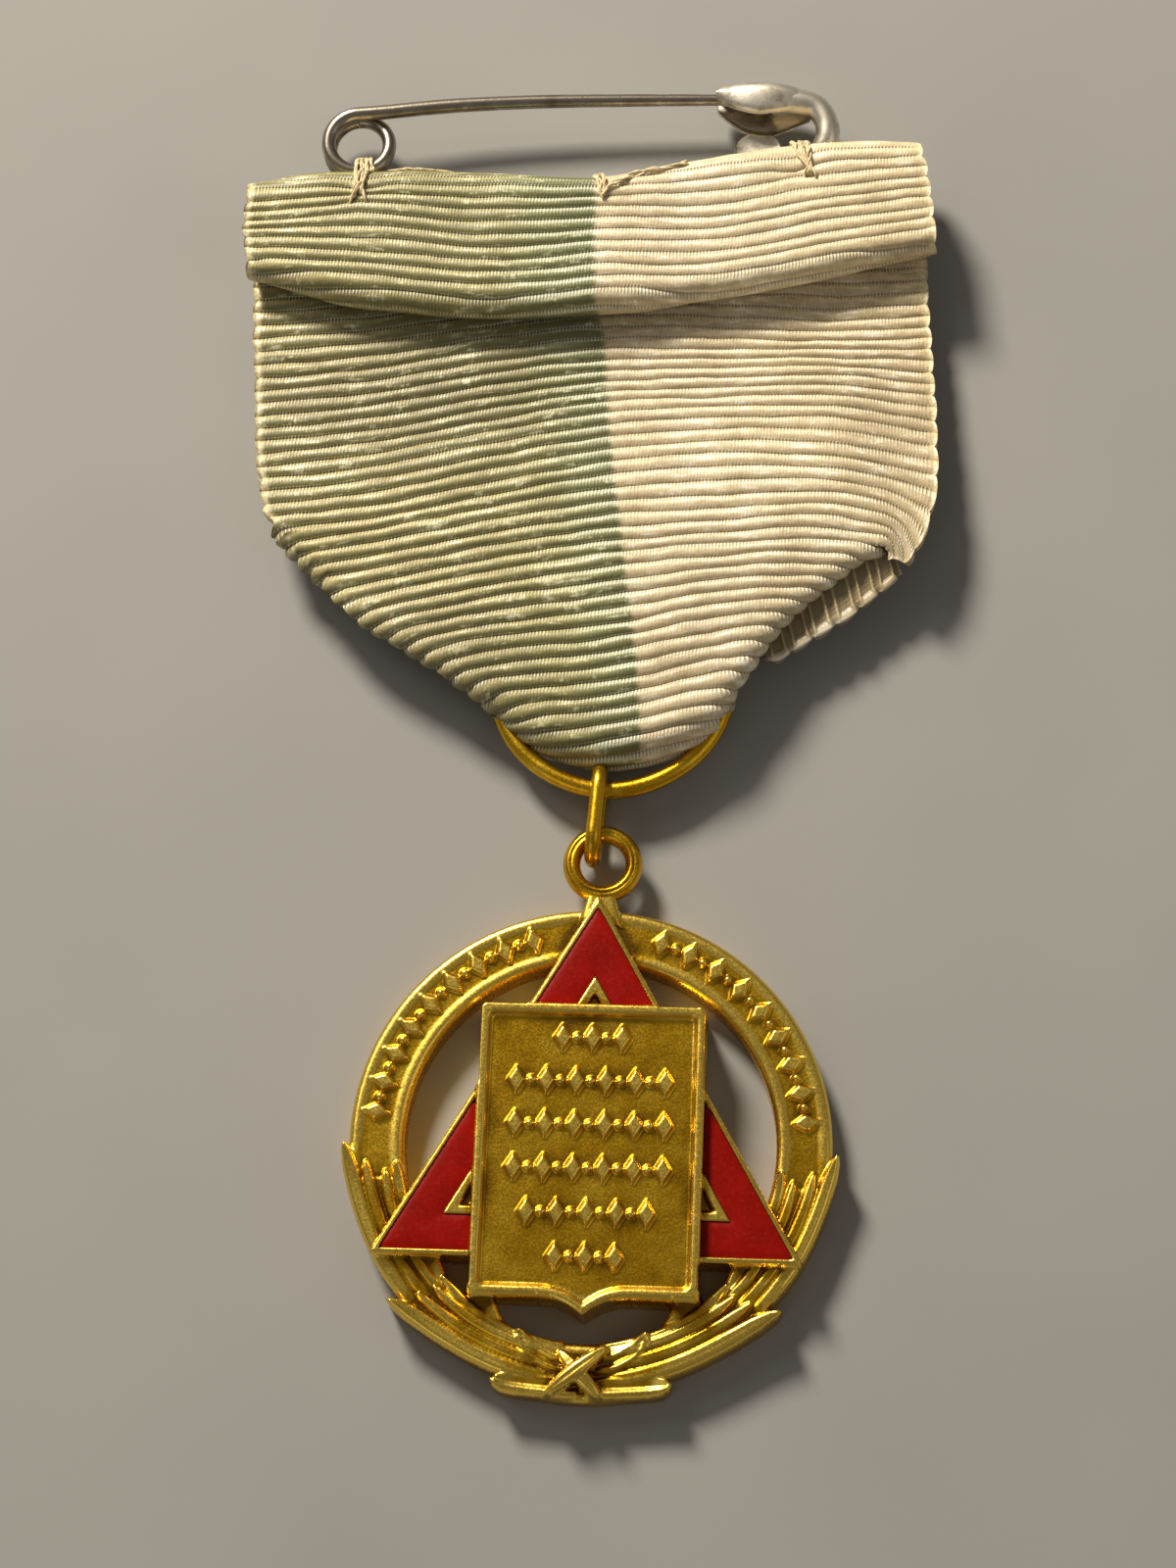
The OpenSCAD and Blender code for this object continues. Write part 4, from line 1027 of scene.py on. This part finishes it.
def badge_fields(x, y):
    """Outline (negative inside) and height of the cast badge."""
    ring, triangle, tablet = ring_outline(x, y), triangle_outline(x, y, OUTER_SIDE), tablet_outline(x, y)
    leaf, leaf_h = wreath(x, y)
    tie, tie_h = ties(x, y)
    marks = ornament(x, y)
    neck = np.maximum(np.abs(x - 0.1) - (1.15 - 0.22 * (y - 10.8)), np.maximum(10.8 - y, y - 12.75))
    feet = np.maximum(np.abs(np.abs(x) - 5.0) - 0.95 + 0.35 * (y + 8.3), np.abs(y - TABLET_FOOT_Y) - 0.9)
    ring = blend(ring, feet, 0.7)
    outline = np.minimum.reduce([ring, triangle, tablet, leaf, tie, neck, feet])
    height = np.where(neck < 0, NECK_TOP - fillet(neck, 0.35), 0)
    ring_h = RING_TOP - fillet(ring, 0.35) - 0.3 * (y < -11.6)
    height = np.maximum(height, np.where(ring < NEAR, ring_h, 0))
    # shallow channel of the ring between its two rims
    from_channel = np.abs(np.hypot(x, y) - 10.42)
    height -= 0.05 * smooth01((0.95 - from_channel) / 0.35) * (ring < 0) * (y > -2)
    height = np.where((ring < 0) & (triangle > 0), height + 0.30 * raised(marks, 0.16), height)
    height = np.maximum(height, np.where(leaf < 0.05, leaf_h, 0))
    # triangle: outer border, cell for the enamel, inner border, sunk middle
    in_cell = np.minimum(-triangle_outline(x, y, CELL_OUTER), triangle_outline(x, y, CELL_INNER))
    middle = triangle_outline(x, y, SUNK_SIDE)
    plate = PLATE_TOP - fillet(triangle, 0.12)
    plate = np.where(in_cell > 0, np.maximum(CELL_FLOOR, PLATE_TOP - in_cell / 0.06 * 0.7), plate)
    plate = np.where(middle < 0, np.maximum(SUNK_TOP, PLATE_TOP + middle / 0.22 * 0.65), plate)
    height = np.where(triangle < NEAR, plate, height)
    # tablet on top of all: rounded rim and sunk field with its marks
    inner = tablet_outline(x, y, 0.5)
    rim = TABLET_TOP - fillet(tablet, 0.15) - fillet(-inner, 0.14)
    field = np.maximum(FIELD_TOP + 0.28 * raised(marks, 0.18), 3.16 + inner / 0.16 * 0.45)
    height = np.where(tablet < 0, np.where(inner > 0, rim, field), height)
    return outline, np.maximum(height, np.where(tie < 0, tie_h, 0))


def snap_rim(px, py, rim, fields, pitch):
    """Moves the points of the rim on to the outline, evens out their spacing and returns their numbers."""
    ids = np.unique(rim)
    count = np.maximum(np.bincount(rim.ravel(), minlength=len(px)), 1)
    step = 0.02
    for spread in (0.5, 0.5, 0.45, 0.4, 0.4, 0.3, 0.3, 0.0):
        x, y = px[ids], py[ids]
        slope_x = (fields(x + step, y)[0] - fields(x - step, y)[0]) / (2 * step)
        slope_y = (fields(x, y + step)[0] - fields(x, y - step)[0]) / (2 * step)
        back = fields(x, y)[0] / np.maximum(slope_x**2 + slope_y**2, 0.3)
        px[ids] -= np.clip(back * slope_x, -pitch, pitch)
        py[ids] -= np.clip(back * slope_y, -pitch, pitch)
        for axis in (px, py):
            total = np.zeros(len(axis))
            np.add.at(total, rim[:, 0], axis[rim[:, 1]])
            np.add.at(total, rim[:, 1], axis[rim[:, 0]])
            axis[ids] += spread * (total / count - axis)[ids]
    return ids


def closed_loops(edges):
    """Edges put together into loops of point numbers."""
    follow = dict(edges.tolist())
    left = set(follow)
    loops = []
    while left:
        loop = [left.pop()]
        after = follow[loop[0]]
        while after != loop[0]:
            loop.append(after)
            left.discard(after)
            after = follow.get(after, loop[0])
        if len(loop) > 2:
            loops.append(loop)
    return loops


def back_triangles(points, loops):
    """Fills the loops with triangles that face down."""
    flat = [[Vector((points[k][0], points[k][1], 0)) for k in loop] for loop in loops]
    tris = np.concatenate(loops)[np.array(tessellate_polygon(flat))]
    a, b, c = (points[tris[:, k]][:, :2] for k in range(3))
    area = (b[:, 0] - a[:, 0]) * (c[:, 1] - a[:, 1]) - (b[:, 1] - a[:, 1]) * (c[:, 0] - a[:, 0])
    tris[area > 0] = tris[area > 0][:, ::-1]
    return tris


def relief_mesh(x_ends, y_ends, pitch, fields, base_z):
    """Closed mesh of a height field whose rim lies on the zero line of the outline field."""
    grid_x, grid_y = np.meshgrid(*(np.arange(low, high + pitch, pitch) for low, high in (x_ends, y_ends)))
    outline, height = fields(grid_x, grid_y)
    # cavity: above zero on edges and below it in hollows; the gilt paints highlight and shade from it
    cavity = height - blur(height, 5)
    inside = (outline < 0).astype(int)
    corners = inside[:-1, :-1] + inside[1:, :-1] + inside[:-1, 1:] + inside[1:, 1:]
    quads = grid_quads(*grid_x.shape)[corners.ravel() >= 3]
    # the rim's edges are those of one cell only, in the order of that cell
    edges = np.concatenate([quads[:, [k, (k + 1) % 4]] for k in range(4)])
    rim = edges[~np.isin(edges @ [grid_x.size, 1], edges @ [1, grid_x.size])]
    px, py, pz = grid_x.ravel(), grid_y.ravel(), height.ravel()
    ids = snap_rim(px, py, rim, fields, pitch)
    pz[ids] = np.maximum(fields(px[ids], py[ids])[1], base_z + 0.3)
    used = np.unique(quads)
    points = np.stack([px, py, pz], -1)
    face, top = points[used], points[ids]
    low = top * [1, 1, 0] + [0, 0, base_z]
    # the points of the walls and of the back lie after those of the face
    near, far = np.searchsorted(ids, rim).T + len(face)
    count = len(ids)
    walls = np.stack([far + count, near + count, near, far], -1)
    points = np.vstack([face, low, top, low])
    tris = back_triangles(points, closed_loops(np.stack([near, far], -1) + 2 * count))
    cavity = np.concatenate([cavity.ravel()[used], np.full(3 * count, -0.02)])
    return points, np.vstack([np.searchsorted(used, quads), walls]), tris, {"cavity": cavity}


def eye_part():
    """Suspension eye: a turned ring with two soft ridges on its face."""
    sides, turns = 40, 96
    a = np.linspace(0, FULL_TURN, sides, endpoint=False)
    out, up = EYE_HALF_W * np.cos(a), EYE_HALF_H * np.sin(a)
    up -= 0.10 * np.maximum(0, np.sin(a)) * np.exp(-((out - 0.02) / 0.09)**2)
    r, z = EYE_R + out, EYE_Z + up * (1 - 0.12 * np.abs(np.cos(a)))
    turn = np.linspace(0, FULL_TURN, turns, endpoint=False)[:, None]
    points = np.stack(np.broadcast_arrays(EYE_X + r * np.cos(turn), EYE_Y + r * np.sin(turn), z), -1)
    groove = np.exp(-((r - 1.575) / 0.1)**2) * (z > 1.5)
    # patina and painted shade in the groove between the ridges, painted shade towards the wire's lower side
    cavity = -0.09 * groove - 0.05 * np.clip((1.62 - z) / 0.5, 0, 1)
    quads = grid_quads(turns, sides, wrap_rows=True, wrap_cols=True, flip=True)
    return points.reshape(-1, 3), quads, NO_TRIANGLES, {"cavity": np.tile(cavity, turns)}


def enamel_fields(side):
    """Fields of the enamel in one cell: side is 0 for the top one, -1 for the left and 1 for the right."""
    gap = 0.02

    def fields(x, y):
        outer, inner = triangle_outline(x, y, CELL_OUTER - gap), triangle_outline(x, y, CELL_INNER + gap)
        end = np.maximum(5.57 - side * x, y - 4.0) if side else 6.64 - y
        outline = np.maximum(np.maximum(outer, -inner), end)
        dome = 2.575 + 0.05 * np.sqrt(np.clip(-outline / 0.8, 0, 1)) - 0.03 * np.exp(outline / 0.1)
        return outline, dome

    return fields


def in_place(part):
    """A part of the badge, turned and moved to its place."""
    x, y, z = part[0].T
    c, s = math.cos(BADGE_TURN), math.sin(BADGE_TURN)
    return (np.stack([BADGE_X + c * x - s * y, BADGE_Y + s * x + c * y, z], -1), *part[1:])


badge = join_parts([relief_mesh((-12.7, 12.7), (-12.9, 12.9), 0.078, badge_fields, 0.0), eye_part()])
add_piece("medal_relief", in_place(badge), GILT, ("medal_body",))
for side, name in ((0, "enamel_top"), (-1, "enamel_left"), (1, "enamel_right")):
    glaze = relief_mesh((-10.8, 10.8), (-6.2, 12.4), 0.12, enamel_fields(side), 1.99)
    # the enamel's material reads no cavity
    add_piece(name + "_glaze", in_place((*glaze[:3], {})), ENAMEL, (name,))


# Ring and link
# Each: its place, its radius to the middle of the wire, and the wire's radius
RING_X, RING_Y, RING_Z = 1.3, 5.1, 1.7
RING_R, RING_WIRE_R = 5.95, 0.45
LINK_TOP, LINK_FOOT, LINK_Z = (0.62, -1.05), (0.40, -3.3), 1.56
LINK_R, LINK_WIRE_R = 1.15, 0.395


def ring_wire():
    """Slightly uneven ring that the ribbon hangs in."""
    turn = np.linspace(0, FULL_TURN, 160, endpoint=False)
    r = RING_R * (1 + 0.004 * np.sin(3 * turn + 0.6) + 0.003 * np.sin(7 * turn))
    path = np.stack([RING_X + r * np.cos(turn), RING_Y + r * np.sin(turn), np.full_like(turn, RING_Z)], -1)
    return tube(path, RING_WIRE_R, 24, closed=True)


def link_wire():
    """Oval link that stands on edge, with half a turn at its top and half a turn at its foot."""
    top, foot = np.array(LINK_TOP), np.array(LINK_FOOT)
    step = 0.16
    lean = (top - foot) / np.linalg.norm(top - foot)
    a = np.linspace(0, math.pi, 28)[:, None]
    bends = [np.hstack([end + sign * lean * LINK_R * np.sin(a), LINK_Z + sign * LINK_R * np.cos(a)])
             for end, sign in ((top, 1), (foot, -1))]
    path = np.vstack(bends)
    loop = []
    for p, q in zip(path, np.roll(path, -1, axis=0)):
        steps = max(1, int(np.linalg.norm(q - p) / step))
        loop += [p + (q - p) * k / steps for k in range(steps)]
    return tube(loop, LINK_WIRE_R, 22, closed=True, side=(lean[1], -lean[0], 0.0))


add_piece("ribbon_ring_wire", plain_gilt(ring_wire()), WIRE_GILT, ("ribbon_ring",))
add_piece("jump_link_wire", plain_gilt(link_wire()), WIRE_GILT, ("jump_link",))

# Safety pin
COIL_X, COIL_Y, COIL_R = -12.13, 35.3, 1.6
PIN_R = 0.37
# Columns: x, y, z and the wire's radius. The arm ends and the back arm starts on the coil.
ARM = [[10.3, 37.45, 1.95, 0.08], [9.3, 37.47, 1.96, 0.2], [7.6, 37.5, 1.98, 0.29], [3.2, 37.55, 2.05, 0.33],
       [-2.0, 37.55, 2.15, 0.36], [-6.0, 37.42, 2.25, 0.38], [-8.6, 37.22, 2.33, 0.385],
       [-10.4, 37.03, 2.38, 0.385], [-11.2, 36.97, 2.40, 0.38], [-11.8, 36.93, 2.41, 0.375]]
BACK_ARM = [[-11.2, 33.68, 1.08, PIN_R], [-10.2, 33.5, 0.97, PIN_R], [-9.0, 33.1, 0.85, PIN_R],
            [-6.0, 32.55, 0.76, PIN_R], [0, 32.05, 0.74, PIN_R], [6.0, 32.6, 0.76, PIN_R],
            [9.2, 33.3, 0.85, PIN_R], [10.6, 33.75, 0.98, PIN_R], [11.35, 34.1, 1.1, PIN_R]]
NECK = [[9.9, 37.36, 1.95, 0.76], [10.7, 37.35, 1.95, 0.79], [11.4, 37.24, 1.95, 0.75],
        [12.2, 36.98, 1.95, 0.67], [12.72, 36.25, 1.9, 0.63], [12.82, 35.4, 1.75, 0.64],
        [12.6, 34.85, 1.55, 0.62], [12.2, 34.5, 1.35, 0.54], [11.65, 34.25, 1.17, 0.46]]
# Columns: x, y of the top edge, lower y of the front and of the back flap, z of the front
CAP = [[7.0, 38.06, 37.42, 37.20, 2.44], [7.2, 38.14, 37.26, 36.95, 2.56], [7.6, 38.20, 37.02, 36.56, 2.70],
       [8.3, 38.24, 36.68, 36.05, 2.84], [9.1, 38.26, 36.46, 35.75, 2.90], [9.9, 38.26, 36.52, 35.75, 2.88],
       [10.6, 38.18, 36.66, 36.0, 2.80], [11.3, 37.96, 36.74, 36.3, 2.66], [11.95, 37.58, 36.70, 36.6, 2.48]]
CAP_BACK_Z, CAP_WALL, LOBE_WALL = 1.2, 0.24, 0.22


def coil_points(degrees, radius=PIN_R):
    """Points of the coil, which goes down as it turns."""
    points = []
    for deg in degrees:
        a = math.radians(deg)
        z = 2.3 - 0.86 * (deg - 150) / 360
        points.append([COIL_X + COIL_R * math.cos(a), COIL_Y + COIL_R * math.sin(a), z, radius])
    return points


def wire(rows, per_span=5, sides=20):
    path = spline(rows, per_span)
    return tube(path[:, :3], path[:, 3], sides)


def cap_sheet():
    """Sheet folded over the pin's point: a short flap in front and a longer one behind."""
    sections = []
    for x, top, front, back, z in spline(CAP, 5):
        low, high = CAP_BACK_Z, z - 0.13
        mid = (low + high) / 2
        k = min(1.0, (top - front) / 1.2)
        section = [
            [x, back, low], [x, back + 0.5 * (top - 0.5 * k - back), low - 0.02],
            [x, top - 0.42 * k, low], [x, top - 0.16 * k, low + 0.28 * (mid - low)],
            [x, top - 0.10, mid], [x, top - 0.18 * k, high - 0.25 * (z - mid)],
            [x, top - 0.45 * k, high], [x, 0.5 * (top + front), z - 0.10],
            [x, front + 0.18 * k, z - 0.24], [x, front + 0.02, z - 0.48]]
        sections.append(spline(section, 4))
    return closed_wall(np.array(sections)[:, ::-1], CAP_WALL / 2, CAP_WALL / 2)


def cap_lobe():
    """Rounded lower lobe of the cap's back sheet."""
    r = np.linspace(0.02, 1, 12)[:, None]
    a = np.linspace(0, FULL_TURN, 49)[None, :]
    mid = [9.15 + 1.27 * r * np.cos(a), 34.85 + 1.14 * r * np.sin(a), 0.98 + 0.10 * r**3]
    return closed_wall(np.stack(np.broadcast_arrays(*mid), -1), LOBE_WALL / 2, LOBE_WALL / 2)


arm = wire(ARM + coil_points(range(99, 451, 11)) + coil_points([451]))
add_piece("pin_arm_wire", arm, STEEL, ("pin_arm",), body="arm")
# the back arm's first points are a little thinner: they lie inside the arm's last ones
inner_r = 0.362
back_arm = wire(coil_points((440, 446, 451), inner_r) + coil_points(range(453, 631, 12)) + BACK_ARM)
add_piece("pin_back_wire", back_arm, STEEL, ("pin_back_arm",))
cap = join_parts([cap_sheet(), cap_lobe(), wire(NECK, 8, 28)])
add_piece("pin_cap_sheet", cap, LIT_CAP_STEEL, ("pin_cap",))


# Threads
# Each stitch: shift of its upper part, shift of its lower part, y of its lower end
LEFT_STITCHES = [(-0.38, 0.25, 30.9), (-0.10, -0.30, 31.15), (0.18, 0.05, 31.3), (0.44, -0.45, 30.75)]
RIGHT_STITCHES = [(-0.34, 0.15, 31.95), (0.02, 0.40, 31.75), (0.36, -0.05, 31.9)]
LOOSE_END = [(0.60, 32.05), (0.72, 31.75), (0.85, 31.2), (0.96, 30.72), (1.1, 30.95), (1.3, 31.3),
             (1.9, 31.65), (2.6, 32.05), (3.5, 32.3), (4.5, 32.5), (5.4, 32.75)]
FIBRE = [[-10.5, 33.6, 2.2], [-9.6, 33.35, 2.9], [-8.8, 33.2, 3.15], [-7.6, 33.0, 3.25],
         [-6.75, 32.8, 3.35], [-5.97, 32.6, 3.5]]
STITCH_R = 0.085


def cotton(path, radius, seed):
    """Loosely spun cotton: four fine plies that wander round a smooth path."""
    p = spline(path, 10)
    along = cumulative(p)
    head = unit_rows(np.gradient(p, axis=0))
    side = unit_rows(np.cross(head, [0.31, 0.17, 0.93]))
    up = np.cross(head, side)
    rand = np.random.default_rng(seed)
    plies = []
    for ply in range(4):
        turns = along / rand.uniform(1.9, 2.6) + ply / 4 + 0.05 * np.sin(along * 5 + rand.uniform(0, 6))
        a = FULL_TURN * turns
        out = radius * (0.80 + 0.35 * np.sin(along * rand.uniform(3, 5) + rand.uniform(0, 6)))
        ply_path = p + side * (out * np.cos(a))[:, None] + up * (out * np.sin(a))[:, None]
        plies.append(tube(ply_path, radius * rand.uniform(0.52, 0.70), 6))
    return plies


def on_band(x, y):
    """Height of a thread that lies on the band's face or on its rounded top edge."""
    round_r, lift = 1.56, 0.08
    past = max(y - np.interp(x, [-13.3, 0.5, 11.0], [33.1, 32.45, 34.1]) + 1.54, 0.0)
    return 2.88 + math.sqrt(max(round_r**2 - past**2, 0.3)) + lift


def left_stitch(shift, cross, low):
    """Path from behind the pin over the top edge to the band's face."""
    x, low_x = shift - 11.75, cross - 11.75
    over = [[-11.85 + shift * 0.7, 34.45, 1.2], [-11.82 + shift * 0.8, 34.3, 2.2],
            [-11.8 + shift, 33.85, 2.62], [x, 33.2, 3.0]]
    face = [[low_x + (shift - cross) * g, y, on_band(-11.7, y)]
            for g, y in ((0.9, 32.6), (0.7, 32.1), (0.35, 31.6))]
    return over + face + [[low_x, low, 4.44], [low_x, low - 0.15, 4.0]]


def right_stitch(shift, cross, low):
    """Path from behind the cap's neck over the top edge to the band's face."""
    return [[11.1 + shift * 0.6, 34.8, 1.3], [11.15 + shift * 0.8, 34.75, 2.0], [11.25 + shift, 34.5, 2.7],
            [11.35 + shift, 33.8, on_band(11.3, 33.8)], [11.45 + shift * 0.8, 33.1, on_band(11.3, 33.1)],
            [11.6 + shift * 0.4 + cross * 0.6, low + 0.4, 4.46], [11.65 + cross, low, 4.42],
            [11.66 + cross, low - 0.15, 4.0]]


threads = []
for seed, stitch in enumerate(LEFT_STITCHES):
    threads += cotton(left_stitch(*stitch), STITCH_R, seed)
for seed, stitch in enumerate(RIGHT_STITCHES, 10):
    threads += cotton(right_stitch(*stitch), STITCH_R, seed)
# the middle tack: a loose end, a short knot and a stray fibre by the coil
threads += cotton([[0.5, 32.4, 3.4]] + [[x, y, on_band(x, y)] for x, y in LOOSE_END], 0.10, 20)
knot = [[0.62, 32.0, on_band(0.6, 32.0)], [0.95, 32.15, on_band(0.9, 32.1)],
        [1.05, 31.6, 4.46], [0.98, 30.8, 4.42]]
threads += cotton(knot, 0.08, 21)
threads += cotton(FIBRE, 0.05, 22)
add_piece("tack_threads", join_parts(threads), THREAD)

# Floor, light, camera
HALF_FLOOR = 600.0
floor_points = [[x, y, 0] for x, y in ((-1, -1), (1, -1), (1, 1), (-1, 1))]
floor_part = (np.array(floor_points) * HALF_FLOOR, [[0, 1, 2, 3]], NO_TRIANGLES, {})
floor = add_object("floor", floor_part, FLOOR)

# Each lamp: name, place, where it points, size, power, colour
LAMPS = [("key", (-0.16, 0.30, 0.26), (0, 0, 0), 0.105, 3.0, (1.0, 0.92, 0.80)),
         ("fill", (0.35, -0.10, 0.35), (0, 0, 0), 0.35, 0.16, (1.0, 0.95, 0.88)),
         ("top", (-0.30, 0.20, 0.38), (0, 0, 0), 0.18, 0.20, (1.0, 0.95, 0.86)),
         ("front", (-0.25, -0.35, 0.25), (0, -0.01, 0), 0.3, 0.12, (1.0, 0.97, 0.93))]
SKY_COLOUR, SKY_STRENGTH = (1.0, 0.95, 0.88, 1), 0.155
# The camera looks almost straight down: place in metres, turns about X and then about Y in degrees
CAMERA_AT = (0.007402, -0.057587, 0.170402)
CAMERA_TILT, CAMERA_LEAN = 17.578202, 2.554540
CAMERA_LENS, CAMERA_SENSOR = 81.0, 36.0


def add_lamp(name, at, aim, size, power, colour):
    lamp = bpy.data.lights.new(name, "AREA")
    lamp.shape = "DISK"
    lamp.size = size
    lamp.energy = power
    lamp.color = colour
    obj = bpy.data.objects.new(name, lamp)
    bpy.context.scene.collection.objects.link(obj)
    obj.location = at
    obj.rotation_euler = (Vector(aim) - Vector(at)).to_track_quat("-Z", "Y").to_euler()


def add_sky():
    world = bpy.data.worlds.new("studio")
    bpy.context.scene.world = world
    world.use_nodes = True
    background = world.node_tree.nodes["Background"]
    background.inputs["Color"].default_value = SKY_COLOUR
    background.inputs["Strength"].default_value = SKY_STRENGTH


def add_camera():
    camera = bpy.data.cameras.new("camera")
    camera.lens = CAMERA_LENS
    camera.sensor_width = CAMERA_SENSOR
    camera.clip_start = 0.01
    obj = bpy.data.objects.new("camera", camera)
    bpy.context.scene.collection.objects.link(obj)
    turn = Euler((math.radians(CAMERA_TILT), math.radians(CAMERA_LEAN), 0))
    obj.matrix_world = Matrix.Translation(CAMERA_AT) @ turn.to_matrix().to_4x4()
    bpy.context.scene.camera = obj


for lamp in LAMPS:
    add_lamp(*lamp)
add_sky()
bpy.context.scene.view_settings.view_transform = "Standard"
add_camera()
